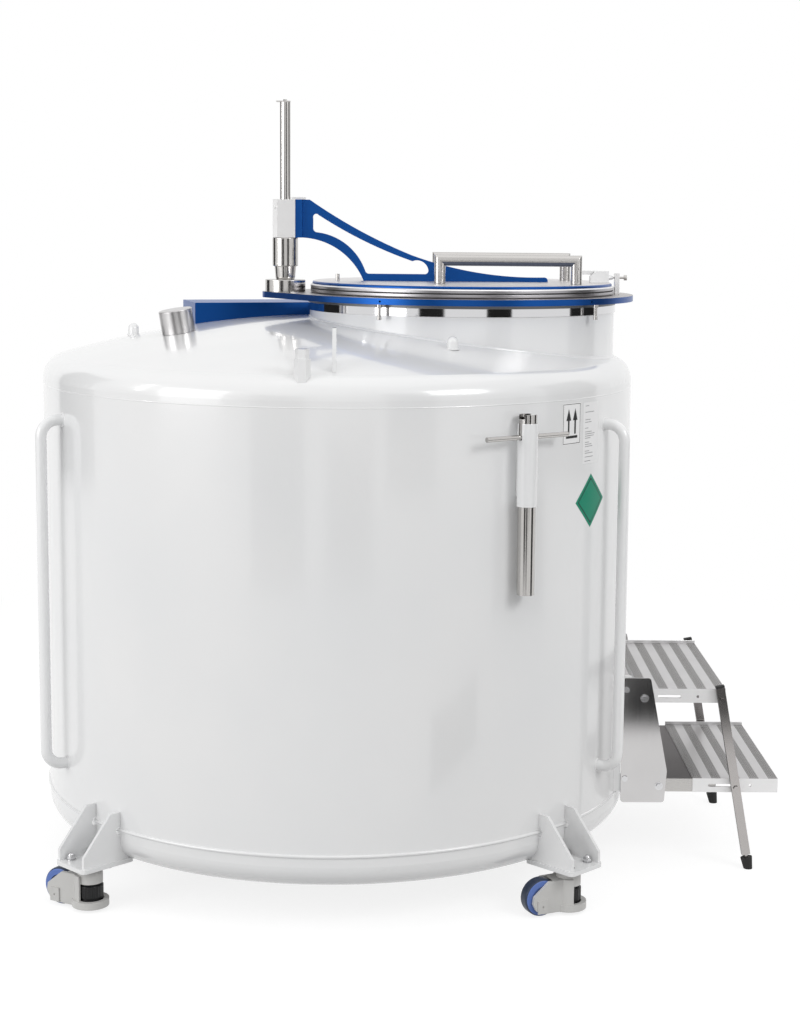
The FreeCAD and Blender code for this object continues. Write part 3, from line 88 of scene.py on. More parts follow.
shell_r = radius_of("outer_shell") - BOTTOM_BEAD_R
axis_x = middle("outer_shell").x
neck_x = middle("lid_disc").x
neck_r = radius_of("neck_collar")
lid_r = radius_of("lid_disc")
disc_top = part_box("lid_disc")[1].z
lid_top = disc_top + LID_PLATE_T
print("tank axis", axis_x, "radius", shell_r, "neck axis", neck_x)

# %% [markdown]
# A photograph is taken by a real camera, and this one matches it: the place, the small pan, tilt
# and roll, the lens and the shift of the picture's centre. Lengths in the picture are in pixels.
# Blender counts lens and shift along the picture's longer side, which is its height here.

# %% Camera
PICTURE_WIDE, PICTURE_LONG = 800.0, 1022.0
FOCAL_PX = 1885.06
CENTRE_PX = (429.7, 469.3)
CAMERA_PLACE = (-0.016368, -4.898265, 1.632996)
PAN, TILT, ROLL = 0.014282, 0.131653, 0.0092325

camera_data = bpy.data.cameras.new("camera")
camera = bpy.data.objects.new("camera", camera_data)
bpy.context.scene.collection.objects.link(camera)
aimed = (Matrix.Rotation(-PAN, 3, "Z") @ Matrix.Rotation(math.pi / 2 - TILT, 3, "X")
         @ Matrix.Rotation(ROLL, 3, "Z"))
camera.location = CAMERA_PLACE
camera.rotation_euler = aimed.to_euler()
camera_data.lens = FOCAL_PX * camera_data.sensor_width / PICTURE_LONG
camera_data.shift_x = (PICTURE_WIDE / 2 - CENTRE_PX[0]) / PICTURE_LONG
camera_data.shift_y = (CENTRE_PX[1] - PICTURE_LONG / 2) / PICTURE_LONG
bpy.context.scene.camera = camera
print("lens", round(camera_data.lens, 2), "mm")

# %% [markdown]
# Shader maths reads best as plain expressions. The small class below wraps one output socket, so
# that `mask * 0.2 + 0.1` adds the Math nodes that it needs. Everything else goes through one
# method that takes a node's type, its settings and its inputs.

# %% A socket with arithmetic, and a finish that collects nodes


class Wire:
    """One output socket; arithmetic on it adds Math nodes."""

    def __init__(self, finish, socket):
        self.finish = finish
        self.socket = socket

    def _math(self, operation, first, second):
        return self.finish.node("ShaderNodeMath", {"operation": operation}, {0: first, 1: second})

    def __add__(self, other):
        return self._math("ADD", self, other)

    def __radd__(self, other):
        return self._math("ADD", other, self)

    def __sub__(self, other):
        return self._math("SUBTRACT", self, other)

    def __rsub__(self, other):
        return self._math("SUBTRACT", other, self)

    def __mul__(self, other):
        return self._math("MULTIPLY", self, other)

    def __rmul__(self, other):
        return self._math("MULTIPLY", other, self)

    def __gt__(self, other):
        return self._math("GREATER_THAN", self, other)

    def __lt__(self, other):
        return self._math("LESS_THAN", self, other)


class Finish:
    """A procedural material, built node by node."""

    def __init__(self, name):
        self.material = bpy.data.materials.new(name)
        self.material.use_nodes = True
        self.tree = self.material.node_tree
        self.shader = self.tree.nodes["Principled BSDF"]

    def node(self, kind, settings=None, inputs=None, output=0):
        """Add a node: its settings first, then values or wires for its inputs."""
        made = self.tree.nodes.new(kind)
        for key, value in (settings or {}).items():
            setattr(made, key, value)
        for key, value in (inputs or {}).items():
            if isinstance(value, Wire):
                self.tree.links.new(value.socket, made.inputs[key])
            else:
                made.inputs[key].default_value = value
        return Wire(self, made.outputs[output])

    def place(self, centre=(0, 0, 0), scale=(1, 1, 1)):
        """Object coordinates, moved and stretched."""
        where = self.node("ShaderNodeTexCoord", output="Object")
        shifted = self.node("ShaderNodeVectorMath", {"operation": "SUBTRACT"},
                            {0: where, 1: centre})
        return self.node("ShaderNodeMapping", {}, {"Vector": shifted, "Scale": scale})

    def noise(self, scale, detail=2.0, roughness=0.5, vector=None):
        """Cloudy grey pattern on Object coordinates, or on the given vector."""
        vector = vector or self.place()
        return self.node("ShaderNodeTexNoise", {}, {"Vector": vector, "Scale": scale,
                                                    "Detail": detail, "Roughness": roughness})

    def ramp(self, value, stops):
        """Colour ramp; a stop is a place and a colour."""
        made = self.tree.nodes.new("ShaderNodeValToRGB")
        ramp = made.color_ramp
        while len(ramp.elements) < len(stops):
            ramp.elements.new(0.5)
        for element, (place, colour) in zip(ramp.elements, stops):
            element.position = place
            element.color = (*colour, 1)
        self.tree.links.new(value.socket, made.inputs["Fac"])
        return Wire(self, made.outputs["Color"])

    def mix(self, factor, first, second):
        """Mix of two colours."""
        def rgba(value):
            return value if isinstance(value, Wire) else (*value, 1)

        return self.node("ShaderNodeMix", {"data_type": "RGBA"},
                         {"Factor": factor, 6: rgba(first), 7: rgba(second)}, output=2)

    def bump(self, height, distance):
        """Bump of a depth in metres, for the shader's normal."""
        return self.node("ShaderNodeBump", {}, {"Height": height, "Distance": distance})

    def upward(self):
        """How far the surface looks up: 1 on a level top, 0 on a wall."""
        normal = self.node("ShaderNodeNewGeometry", output="Normal")
        return self.node("ShaderNodeSeparateXYZ", {}, {0: normal}, output="Z")

    def modulo(self, value, pitch):
        """Distance from the start of the last whole pitch."""
        return self.node("ShaderNodeMath", {"operation": "MODULO"}, {0: value, 1: pitch})

    def set(self, **sockets):
        """Set or link the shader's sockets, with underscores for spaces."""
        for key, value in sockets.items():
            socket = self.shader.inputs[key.replace("_", " ")]
            if isinstance(value, Wire):
                self.tree.links.new(value.socket, socket)
            elif isinstance(value, tuple):
                socket.default_value = (*value, 1)
            else:
                socket.default_value = value

    def surface(self, shader):
        """Show another shader in place of the material's own."""
        self.tree.links.new(shader.socket, self.tree.nodes["Material Output"].inputs["Surface"])


# %% [markdown]
# The jacket is sprayed with white enamel. Enamel is glossy, but never quite flat: close up it has
# the faint ripple that painters call orange peel, and its sheen drifts a little from place to
# place. Both come from noise on Object coordinates. The grab handles take a lighter copy of it,
# which is painted light.

# %% White enamel


def white_enamel(name, light):
    """Gloss enamel whose grey, from 0 to 1, drifts down to a slightly cooler tone."""
    finish = Finish(name)
    drift = finish.noise(3.0, 2.0)
    peel = finish.noise(160.0, 1.0)
    cool = (light - 0.03, light - 0.025, light - 0.02)
    colour = finish.ramp(drift, [(0.3, cool), (0.7, (light, light, light))])
    finish.set(Base_Color=colour, Roughness=drift * 0.08 + 0.17,
               Normal=finish.bump(peel, 0.00006))
    finish.set(Coat_Weight=0.6, Coat_Roughness=0.05)
    return finish.material


enamel = white_enamel("white_enamel", 0.83)
# Painted light: a lighter copy of the same enamel, for the grab handles.
painted_light_enamel = white_enamel("painted_light_enamel", 0.88)

# %% [markdown]
# Stainless steel shows how it was worked. Turned parts carry fine rings round their axis, brushed
# plates carry straight scratches, and drawn tubes are nearly polished with faint lines along them.
# One function makes them all: the noise is stretched along the scratches. The dark steels are
# painted reflections: they stand for faces that mirror a dark part of the room, such as the
# undersides of the lid's handles.

# %% Worked metals
FINE, LONG, ROUND = 900.0, 2.0, 0.5
STRETCH = {"X": (LONG, FINE, FINE), "Y": (FINE, LONG, FINE), "Z": (FINE, FINE, LONG),
           "round": (ROUND, ROUND, FINE)}
DARK_SHARE = 0.86


def worked_metal(name, colour, along, roughness, depth, spread=0.08):
    """Metal with scratches along one axis: X, Y or Z, or "round" for turned rings about Z."""
    finish = Finish(name)
    scratch = finish.noise(1.0, 3.0, 0.6, finish.place(scale=STRETCH[along]))
    cloud = finish.noise(9.0, 2.0)
    dark = tuple(DARK_SHARE * part for part in colour)
    finish.set(Base_Color=finish.mix(cloud, dark, colour), Metallic=1.0,
               Roughness=scratch * spread + cloud * 0.06 + roughness,
               Normal=finish.bump(scratch, depth))
    return finish.material


steel_grey = (0.56, 0.545, 0.53)
turned_steel = worked_metal("turned_steel", steel_grey, "round", 0.12, 0.000006, spread=0.05)
drawn_steel = worked_metal("drawn_steel", steel_grey, "Z", 0.07, 0.000005, spread=0.05)
brushed_x = worked_metal("brushed_steel_x", steel_grey, "X", 0.20, 0.00002)
brushed_z = worked_metal("brushed_steel_z", (0.60, 0.59, 0.59), "Z", 0.22, 0.00003)
satin_aluminium = worked_metal("satin_aluminium", (0.90, 0.895, 0.895), "Z", 0.34, 0.00002)
lid_aluminium = worked_metal("lid_aluminium", (0.46, 0.45, 0.47), "round", 0.26, 0.000006,
                             spread=0.05)
plate_steel = worked_metal("plate_steel", (0.60, 0.59, 0.59), "Z", 0.05, 0.000008, spread=0.05)
# Painted reflections: dark steels for the handles' undersides, the legs' left faces and the lower arms' tops.
painted_reflection_handle_steel = worked_metal("painted_reflection_handle_steel", (0.13, 0.15, 0.20), "X", 0.20, 0.00001)
painted_reflection_leg_steel = worked_metal("painted_reflection_leg_steel", (0.12, 0.11, 0.105), "Z", 0.30, 0.00002)
painted_reflection_arm_steel = worked_metal("painted_reflection_arm_steel", (0.11, 0.10, 0.10), "X", 0.38, 0.00003)
tread_aluminium = worked_metal("tread_aluminium", (0.66, 0.66, 0.655), "Y", 0.34, 0.00005)
plated_steel = worked_metal("plated_steel", (0.10, 0.10, 0.10), "X", 0.34, 0.00003)
bright_steel = worked_metal("bright_steel", (0.68, 0.68, 0.69), "round", 0.10, 0.00001)
leg_steel = worked_metal("leg_steel", (0.46, 0.44, 0.43), "Z", 0.10, 0.00001, spread=0.06)

# %% [markdown]
# The arm, the lid plate and the ring plate are blue anodised aluminium. Dye in the oxide tints the
# metal's reflections, so the colour goes on a metallic shader, with a thin clear coat for the seal.
# The two round plates were faced after anodising, so their upper faces are bare, turned metal: the
# surface normal tells the shader which faces look up.

# %% Blue anodised aluminium
DYE_DEEP, DYE_LIGHT = (0.002, 0.058, 0.26), (0.006, 0.086, 0.35)
DYED_METALLIC, BARE_METALLIC = 0.85, 0.95
LOOKS_UP = 0.8


def blue_anodised(name, faced=None):
    """Dyed metal; `faced` is the colour of the bare metal on faces that look up."""
    finish = Finish(name)
    grain = finish.noise(1400.0, 2.0)
    cloud = finish.noise(7.0, 2.0)
    colour = finish.mix(cloud, DYE_DEEP, DYE_LIGHT)
    metallic = DYED_METALLIC
    if faced:
        bare = finish.upward() > LOOKS_UP
        colour = finish.mix(bare, colour, faced)
        metallic = bare * (BARE_METALLIC - DYED_METALLIC) + DYED_METALLIC
    finish.set(Base_Color=colour, Metallic=metallic, Roughness=grain * 0.08 + 0.30,
               Normal=finish.bump(grain, 0.00003))
    finish.set(Coat_Weight=0.06, Coat_Roughness=0.2)
    return finish.material


blue = blue_anodised("blue_anodised")
ring_blue = blue_anodised("blue_anodised_ring", (0.36, 0.345, 0.34))
lid_blue = blue_anodised("blue_anodised_lid", (0.64, 0.62, 0.62))

# %% [markdown]
# Painted castings, printed film, nylon, rubber, foam and polyurethane are dull beside the metals.
# Each has its own grain: a fine satin on the film and the wheel, a coarser skin on the foam.

# %% Castings, films, plastics and rubber


def dull(name, light, dark, roughness, grain_scale, depth):
    """Non-metal with a grain, and a colour that drifts between two tones."""
    finish = Finish(name)
    finish.set(Specular_IOR_Level=0.35)
    grain = finish.noise(grain_scale, 3.0)
    cloud = finish.noise(14.0, 2.0)
    finish.set(Base_Color=finish.mix(cloud, dark, light), Roughness=grain * 0.12 + roughness,
               Normal=finish.bump(grain, depth))
    return finish.material


casting = dull("caster_casting", (0.63, 0.625, 0.61), (0.57, 0.565, 0.55), 0.34, 420.0, 0.00006)
wheel_tyre = dull("wheel_tyre", (0.032, 0.046, 0.082), (0.022, 0.034, 0.066), 0.32, 300.0,
                  0.00003)
wheel_hub = dull("wheel_hub", (0.13, 0.215, 0.54), (0.10, 0.17, 0.46), 0.36, 300.0, 0.00004)
label_film = dull("label_film", (0.86, 0.86, 0.86), (0.82, 0.82, 0.825), 0.30, 500.0, 0.00001)
label_green = dull("label_green", (0.0, 0.245, 0.145), (0.0, 0.225, 0.130), 0.34, 500.0, 0.00001)
label_grey = dull("label_grey", (0.33, 0.33, 0.34), (0.28, 0.28, 0.29), 0.40, 500.0, 0.00001)
label_ink = dull("label_ink", (0.020, 0.020, 0.022), (0.012, 0.012, 0.013), 0.40, 500.0, 0.00001)
black_nylon = dull("black_nylon", (0.007, 0.007, 0.008), (0.004, 0.004, 0.005), 0.26, 300.0,
                   0.00003)
black_rubber = dull("black_rubber", (0.030, 0.029, 0.028), (0.018, 0.018, 0.018), 0.6, 260.0,
                    0.0001)
white_foam = dull("white_foam", (0.82, 0.81, 0.77), (0.74, 0.73, 0.70), 0.8, 90.0, 0.0004)

# %% [markdown]
# A construction mesh is loose triangles with knife-sharp corners. Real edges are broken, and the
# thin bright line that they catch tells the eye that a part is metal. So each visible node is
# copied, its corners are merged, flat faces are joined, and a narrow bevel rounds its edges. The
# normals that came with the mesh are cleared first, and weighted normals then keep the flat faces
# evenly lit beside their bevels. The copy stands for the node.

# %% A softened copy of a node
SMOOTH_BELOW = 32.0
BEVEL_ABOVE = 38.0
FLAT_WITHIN = 0.4
MERGE_WITHIN = 0.02 * MM


def only(piece):
    """Select one object and make it the active one."""
    bpy.ops.object.select_all(action="DESELECT")
    piece.select_set(True)
    bpy.context.view_layer.objects.active = piece


def smooth(piece):
    """Shade smooth, with edges left sharp where the surface turns by more than the limit."""
    only(piece)
    bpy.ops.object.shade_smooth_by_angle(angle=math.radians(SMOOTH_BELOW))


def paint(piece, material):
    """Give a piece one material, in place of those that it has."""
    piece.data.materials.clear()
    piece.data.materials.append(material)


def softened(node, material, edge=0.6 * MM):
    """Copy of a node with merged corners and bevelled edges, or sharp ones at 0, to stand for it."""
    piece = bpy.data.objects.new(node + "_finished", frame["nodes"][node].data.copy())
    bpy.context.scene.collection.objects.link(piece)
    only(piece)
    bpy.ops.mesh.customdata_custom_splitnormals_clear()
    bpy.ops.object.mode_set(mode="EDIT")
    bpy.ops.mesh.select_all(action="SELECT")
    bpy.ops.mesh.remove_doubles(threshold=MERGE_WITHIN)
    if edge:
        bpy.ops.mesh.dissolve_limited(angle_limit=math.radians(FLAT_WITHIN))
    bpy.ops.object.mode_set(mode="OBJECT")
    if edge:
        bevel = piece.modifiers.new("edge", "BEVEL")
        bevel.width = edge
        bevel.segments = 2
        bevel.limit_method = "ANGLE"
        bevel.angle_limit = math.radians(BEVEL_ABOVE)
        bevel.miter_outer = "MITER_ARC"
        bpy.ops.object.modifier_apply(modifier=bevel.name)
    smooth(piece)
    level = piece.modifiers.new("level", "WEIGHTED_NORMAL")
    level.keep_sharp = True
    bpy.ops.object.modifier_apply(modifier=level.name)
    paint(piece, material)
    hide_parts(node)
    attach(piece, body_of(node))
    return piece


# %% [markdown]
# New pieces start as primitives. A few helpers do what every one of them needs: add it alone, apply
# its place to its mesh so that the object sits at the origin, round its edges, join several into one,
# and copy one with a mesh of its own.

# %% Helpers for new pieces


def added(primitive, **sizes):
    """Add a primitive while nothing else is selected, and return it."""
    bpy.ops.object.select_all(action="DESELECT")
    primitive(**sizes)
    return bpy.context.object


def settle(name, body, material):
    """Finish the active object: name it, apply its place, smooth it, paint it, let it ride."""
    piece = bpy.context.object
    piece.name = name
    bpy.ops.object.transform_apply(location=True, rotation=True, scale=True)
    smooth(piece)
    paint(piece, material)
    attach(piece, body)
    return piece


def round_edges(piece, width):
    """Bevel every sharp edge of a finished piece."""
    only(piece)
    bevel = piece.modifiers.new("edge", "BEVEL")
    bevel.width = width
    bevel.segments = 2
    bevel.limit_method = "ANGLE"
    bpy.ops.object.modifier_apply(modifier=bevel.name)
    smooth(piece)


def joined(pieces):
    """Several objects as one, which stays the active one."""
    only(pieces[0])
    for piece in pieces[1:]:
        piece.select_set(True)
    bpy.ops.object.join()
    return pieces[0]


def copy_to(piece, place):
    """Copy of a piece with a mesh of its own, at another place."""
    twin = piece.copy()
    twin.data = piece.data.copy()
    twin.location = place
    bpy.context.scene.collection.objects.link(twin)
    return twin


# %% [markdown]
# The big smooth walls and what lies inside the tank have no edges that catch light, so their own
# meshes stay and get only a material. The polished band round the neck has a rougher rim under the
# ring plate that is painted dark, as painted shade from the plate; the height of a point tells the
# shader where it is.

# %% Nodes that keep their own mesh
SHADE_RIM_TALL = 9 * MM


def keep(node, material):
    """A node whose own mesh is good enough gets only its material."""
    paint(frame["nodes"][node], material)


def neck_band_steel():
    """Polished steel with a rougher rim under the ring plate, painted dark as the plate's shade."""
    finish = Finish("neck_band_steel")
    height = finish.node("ShaderNodeSeparateXYZ", {}, {0: finish.place()}, output="Z")
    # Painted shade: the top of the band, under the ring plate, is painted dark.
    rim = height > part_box("neck_band")[1].z - SHADE_RIM_TALL
    finish.set(Base_Color=finish.mix(rim, (0.66, 0.66, 0.67), (0.20, 0.20, 0.20)), Metallic=1.0,
               Roughness=rim * 0.35 + 0.06)
    return finish.material


for node in ("outer_shell", "top_head", "bottom_head", "neck_collar"):
    keep(node, enamel)
for node in ("inner_vessel", "neck_liner"):
    keep(node, brushed_z)
keep("neck_band", neck_band_steel())
keep("carousel", tread_aluminium)
keep("lid_plug", white_foam)
print("kept as they are: walls, vessel, carousel and plug")

# %% [markdown]
# Every other node is softened. Some take a second finish on a few of their faces: the pin on the
# lid's plate is bare steel, and the disc's top edge is bright. What looks up on the lower arms, the
# undersides of the lid's handles and the legs' left faces take dark steels: painted reflections,
# which stand for the dark side of a room that a plain studio lacks. A face's place or normal says
# which material it takes.

# %% Nodes with softened edges
DISC_EDGE_TALL = 3 * MM
CLEAR_OF_PLATE = 1 * MM
LOOKS_DOWN, LOOKS_LEFT = -0.2, -0.6
BRACKET_EDGE, HOUSING_EDGE, FOOT_EDGE = 1.0 * MM, 1.2 * MM, 0.8 * MM


def second_finish(piece, material, test):
    """Give the faces that pass a test a material of their own."""
    piece.data.materials.append(material)
    slot = len(piece.data.materials) - 1
    for face in piece.data.polygons:
        if test(face):
            face.material_index = slot


white_nodes = ["dome_studs", "lifting_lugs", "relief_plug", "key_holder", "step_strips",
               "lock_bracket"]
other_nodes = {"post_base": turned_steel, "post_sleeve": turned_steel, "post_tube": drawn_steel,
               "ring_studs": turned_steel, "vacuum_port_cap": brushed_z, "key": drawn_steel,
               "lock_post": satin_aluminium, "lock_bolt": turned_steel,
               "step_side_plate_front": plate_steel, "step_side_plate_rear": plate_steel,
               "step_bolts": bright_steel, "slider_block": satin_aluminium,
               "leg_ends": black_rubber, "lid_arm": blue, "rear_beam": blue,
               "ring_plate": ring_blue}
for node in white_nodes:
    softened(node, enamel)
for node, material in other_nodes.items():
    softened(node, material)
lid_plate = softened("lid_top_plate", lid_blue)
second_finish(lid_plate, turned_steel, lambda face: face.center.z > lid_top + CLEAR_OF_PLATE)
lid_disc = softened("lid_disc", lid_aluminium)
second_finish(lid_disc, satin_aluminium,
              lambda face: face.center.z > disc_top - DISC_EDGE_TALL)
for node in ("lid_handle_front", "lid_handle_rear"):
    handle = softened(node, brushed_x)
    # Painted reflection: the handles' undersides are painted dark steel.
    second_finish(handle, painted_reflection_handle_steel, lambda face: face.normal.z < LOOKS_DOWN)
legs = softened("step_legs", leg_steel)
# Painted reflection: the legs' left faces are painted dark steel.
second_finish(legs, painted_reflection_leg_steel, lambda face: face.normal.x < LOOKS_LEFT)
arms = softened("lower_arms", brushed_x)
# Painted reflection: the faces that look up on the lower arms are painted dark steel.
second_finish(arms, painted_reflection_arm_steel, lambda face: face.normal.z > LOOKS_UP)
for k in range(1, 5):
    # The grab handles take the enamel that is painted lighter, as painted light.
    softened("side_handle_%d" % k, painted_light_enamel, 0)
    softened("caster_bracket_%d" % k, enamel, BRACKET_EDGE)
    softened("caster_housing_%d" % k, casting, HOUSING_EDGE)
    softened("caster_foot_%d" % k, black_nylon, FOOT_EDGE)

# %% [markdown]
# A levelling caster has a polyurethane tyre on a lighter hub. The faces of the wheel that look along
# its axle are the hub; the rolling surface and its rounded shoulders are the tyre. The axle's
# direction comes from the joint on which the wheel rolls. The plates that carry the casters are dull
# zinc, and the tips of their bolts, which stand well above the plates, are bright.

# %% Wheels and caster bolts
BOLT_TIP_RISE = 20 * MM
ALONG_AXLE = 0.8
joints = {joint["name"]: joint for joint in frame["joints"]}
for k in range(1, 5):
    wheel = softened("caster_wheel_%d" % k, wheel_tyre)
    axle = Vector(joints["wheel_roll_%d" % k]["axis"])
    second_finish(wheel, wheel_hub, lambda face: abs(face.normal.dot(axle)) > ALONG_AXLE)

mounts = softened("caster_mounts", plated_steel, 0)
bright_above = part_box("caster_mounts")[0].z + BOLT_TIP_RISE
second_finish(mounts, bright_steel, lambda face: face.center.z > bright_above)
print("wheels have two tones, bolts are bright above", round(bright_above, 4))

# %% [markdown]
# A cap nut is a washer, a hexagon and a dome. One is made at the origin from three primitives. A
# copy goes over the tip of each caster bolt, found as the highest points of the bolts' mesh near one
# bracket, and the edges of each bracket's nuts are then rounded together.

# %% Cap nuts
WASHER_R, WASHER_T = 10.5 * MM, 2 * MM
HEXAGON_R, HEXAGON_T = 9.6 * MM, 8 * MM
NUT_DOME_R = 7.8 * MM
BRACKET_REACH = 150 * MM
TIP_SLACK = 0.1 * MM
SEAT_BELOW_TIP = 15.2 * MM
NUT_EDGE = 0.6 * MM

washer = added(bpy.ops.mesh.primitive_cylinder_add, vertices=32, radius=WASHER_R, depth=WASHER_T,
               location=(0, 0, WASHER_T / 2))
hexagon = added(bpy.ops.mesh.primitive_cylinder_add, vertices=6, radius=HEXAGON_R,
                depth=HEXAGON_T, location=(0, 0, WASHER_T + HEXAGON_T / 2))
dome = added(bpy.ops.mesh.primitive_uv_sphere_add, segments=24, ring_count=16, radius=NUT_DOME_R,
             location=(0, 0, WASHER_T + HEXAGON_T))
cap_nut = joined([washer, hexagon, dome])
bpy.ops.object.transform_apply(location=True, rotation=True, scale=True)
nuts = 0
for k in range(1, 5):
    base = middle("caster_bracket_%d" % k)
    near = [v.co for v in mounts.data.vertices if (v.co.xy - base.xy).length < BRACKET_REACH]
    tip_z = max(point.z for point in near) - TIP_SLACK
    tips = {(round(point.x, 3), round(point.y, 3)) for point in near if point.z > tip_z}
    joined([copy_to(cap_nut, (x, y, tip_z - SEAT_BELOW_TIP)) for x, y in sorted(tips)])
    fitted = settle("caster_cap_nuts_%d" % k, body_of("caster_mounts"), bright_steel)
    round_edges(fitted, NUT_EDGE)
    nuts += len(tips)
bpy.data.objects.remove(cap_nut)
print(nuts, "cap nuts")

# %% [markdown]
# Each tread is an extruded plank: five ribbed strips with smooth metal between them. The strips
# are painted darker than the smooth metal, with fine dark lines: painted shade between the ribs.
# Both patterns repeat along X, which a modulo of the X coordinate turns into masks. The plank's
# sides are painted brighter than its top, as painted light, and a thin rail stands along its far edge.

# %% Ribbed treads
STRIPS, STRIP_WIDE = 5, 24.0 * MM
RIB_PITCH, RIB_SHADE_LINE = 4 * MM, 1.4 * MM
TOP_ABOVE = 0.5
RAIL_RISE, RAIL_T, RAIL_EDGE = 9 * MM, 4 * MM, 0.8 * MM


def ribbed_tread(node):
    """Softened copy of a tread: ribbed strips on its top painted dark as shade, and sides painted bright as light.
    """
    low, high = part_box(node)
    pitch = (high.x - low.x - STRIP_WIDE) / (STRIPS - 1)
    finish = Finish(node + "_metal")
    from_edge = finish.place(centre=(low.x, 0, 0))
    along = finish.node("ShaderNodeSeparateXYZ", {}, {0: from_edge}, output="X")
    step = finish.modulo(along, pitch)
    top = finish.upward() > TOP_ABOVE
    strips = (step < STRIP_WIDE) * top
    scratch = finish.noise(1.0, 3.0, 0.6, finish.place(scale=(700, 3, 700)))
    cloud = finish.noise(11.0, 3.0)
    smooth_metal = finish.mix(cloud, (0.52, 0.51, 0.515), (0.62, 0.61, 0.615))
    # Painted shade: the ribbed strips are darker, with fine dark lines between the ribs.
    line = finish.modulo(step, RIB_PITCH) < RIB_SHADE_LINE
    ribbed = finish.mix(line, (0.34, 0.33, 0.33), (0.20, 0.195, 0.19))
    # Painted light: the plank's sides are painted lighter than its top.
    sides_painted_light = finish.mix(top, (0.88, 0.875, 0.875), smooth_metal)
    finish.set(Base_Color=finish.mix(strips, sides_painted_light, ribbed), Metallic=0.6,
               Roughness=scratch * 0.10 + strips * 0.10 + 0.32,
               Normal=finish.bump(scratch, 0.00003))
    return softened(node, finish.material, 0)


for node in ("upper_tread", "lower_tread"):
    ribbed_tread(node)
    low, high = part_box(node)
    bar = added(bpy.ops.mesh.primitive_cube_add, size=1,
                location=((low.x + high.x) / 2, high.y - RAIL_T / 2, high.z + RAIL_RISE / 2))
    bar.scale = (high.x - low.x, RAIL_T, RAIL_RISE)
    rail = settle(node + "_rail", body_of(node), satin_aluminium)
    round_edges(rail, RAIL_EDGE)
print("treads ribbed, with a raised rail along the far edge")

# %% [markdown]
# Printed films lie on the shell: a green lozenge, a panel with two arrows that point up, and a plain
# panel with ruled lines. A film is a flat grid, shaped while it is flat, wrapped round the shell and
# given a thickness. What is printed on it is a second film just above the first.

# %% A film on the shell
FILM_T = 0.2 * MM
FILM_STEP = 5 * MM
FILM_MERGE = 0.01 * MM


def straight(s, t):
    """Rectangle."""
    return s, t


def diamond(s, t):
    """Lozenge that stands on its corner."""
    return s, t * (1 - 2 * abs(s))


def pointed(s, t):
    """Triangle that points up."""
    return s * (0.5 - t), t


def film(azimuth, height, width, tall, lift, form=straight):
    """Film wrapped on the shell; `form` moves a point of the flat unit square."""
    piece = added(bpy.ops.mesh.primitive_grid_add, y_subdivisions=2,
                  x_subdivisions=max(2, round(width / FILM_STEP)))
    for vertex in piece.data.vertices:
        s, t = form(vertex.co.x / 2, vertex.co.y / 2)
        turn = math.radians(azimuth) + s * width / shell_r
        reach = shell_r + lift
        vertex.co = (axis_x + reach * math.cos(turn), reach * math.sin(turn), height + t * tall)
    bpy.ops.object.mode_set(mode="EDIT")
    bpy.ops.mesh.select_all(action="SELECT")
    bpy.ops.mesh.remove_doubles(threshold=FILM_MERGE)
    bpy.ops.object.mode_set(mode="OBJECT")
    wall = piece.modifiers.new("film", "SOLIDIFY")
    wall.thickness = FILM_T
    wall.offset = 1.0
    bpy.ops.object.modifier_apply(modifier=wall.name)
    return piece


def ruled_frame(azimuth, height, width, tall, line, lift):
    """Four thin lines round a panel."""
    side = math.degrees((width - line) / 2 / shell_r)
    rise = (tall - line) / 2
    return [film(azimuth, height + rise, width, line, lift),
            film(azimuth, height - rise, width, line, lift),
            film(azimuth - side, height, line, tall, lift),
            film(azimuth + side, height, line, tall, lift)]


# %% [markdown]
# Each film is placed by its middle: the direction round the tank's axis in degrees, from +X, and the
# height above the floor. Its width and its height follow. A smaller dark lozenge with a green one on
# it leaves a thin inner line. The second panel has grey lines of different lengths, set out in rows
# with their left ends on one margin.

# %% The panels and the lozenge
BASE_LIFT, PRINT_LIFT = 0.15 * MM, 0.35 * MM
ARROW_PANEL, ARROW_PANEL_WIDE, ARROW_PANEL_TALL = (-41.75, 1.161), 0.070, 0.098
ROW_PANEL, ROW_PANEL_SIZE = (-35.55, 1.134), (0.070, 0.146)
LOZENGE, LOZENGE_SIZE = (-35.2, 0.970), (0.132, 0.130)

joined([film(*ARROW_PANEL, ARROW_PANEL_WIDE, ARROW_PANEL_TALL, BASE_LIFT),
        film(*ROW_PANEL, *ROW_PANEL_SIZE, BASE_LIFT)])
settle("label_panels", "tank", label_film)
film(*LOZENGE, *LOZENGE_SIZE, BASE_LIFT, diamond)
settle("green_lozenge", "tank", label_green)

# %% The print on them
PRINT_MARGIN, FRAME_LINE = 4 * MM, 1.2 * MM
ARROW_SHIFT = 0.95
HEAD_Z, HEAD_SIZE = 1.183, (0.018, 0.028)
SHAFT_Z, SHAFT_SIZE = 1.154, (0.006, 0.034)
BAR_Z, BAR_SIZE = 1.130, (0.044, 0.006)
DARK_LOZENGE_SIZE, INNER_LOZENGE_SIZE = (0.112, 0.110), (0.106, 0.104)

printed = ruled_frame(*ARROW_PANEL, ARROW_PANEL_WIDE - PRINT_MARGIN,
                      ARROW_PANEL_TALL - PRINT_MARGIN, FRAME_LINE, PRINT_LIFT)
for side in (-ARROW_SHIFT, ARROW_SHIFT):
    azimuth = ARROW_PANEL[0] + side
    printed += [film(azimuth, HEAD_Z, *HEAD_SIZE, PRINT_LIFT, pointed),
                film(azimuth, SHAFT_Z, *SHAFT_SIZE, PRINT_LIFT)]
printed.append(film(ARROW_PANEL[0], BAR_Z, *BAR_SIZE, PRINT_LIFT))
printed.append(film(*LOZENGE, *DARK_LOZENGE_SIZE, PRINT_LIFT, diamond))
joined(printed)
settle("label_print", "tank", label_ink)

film(*LOZENGE, *INNER_LOZENGE_SIZE, PRINT_LIFT + FILM_T, diamond)
settle("green_lozenge_middle", "tank", label_green)

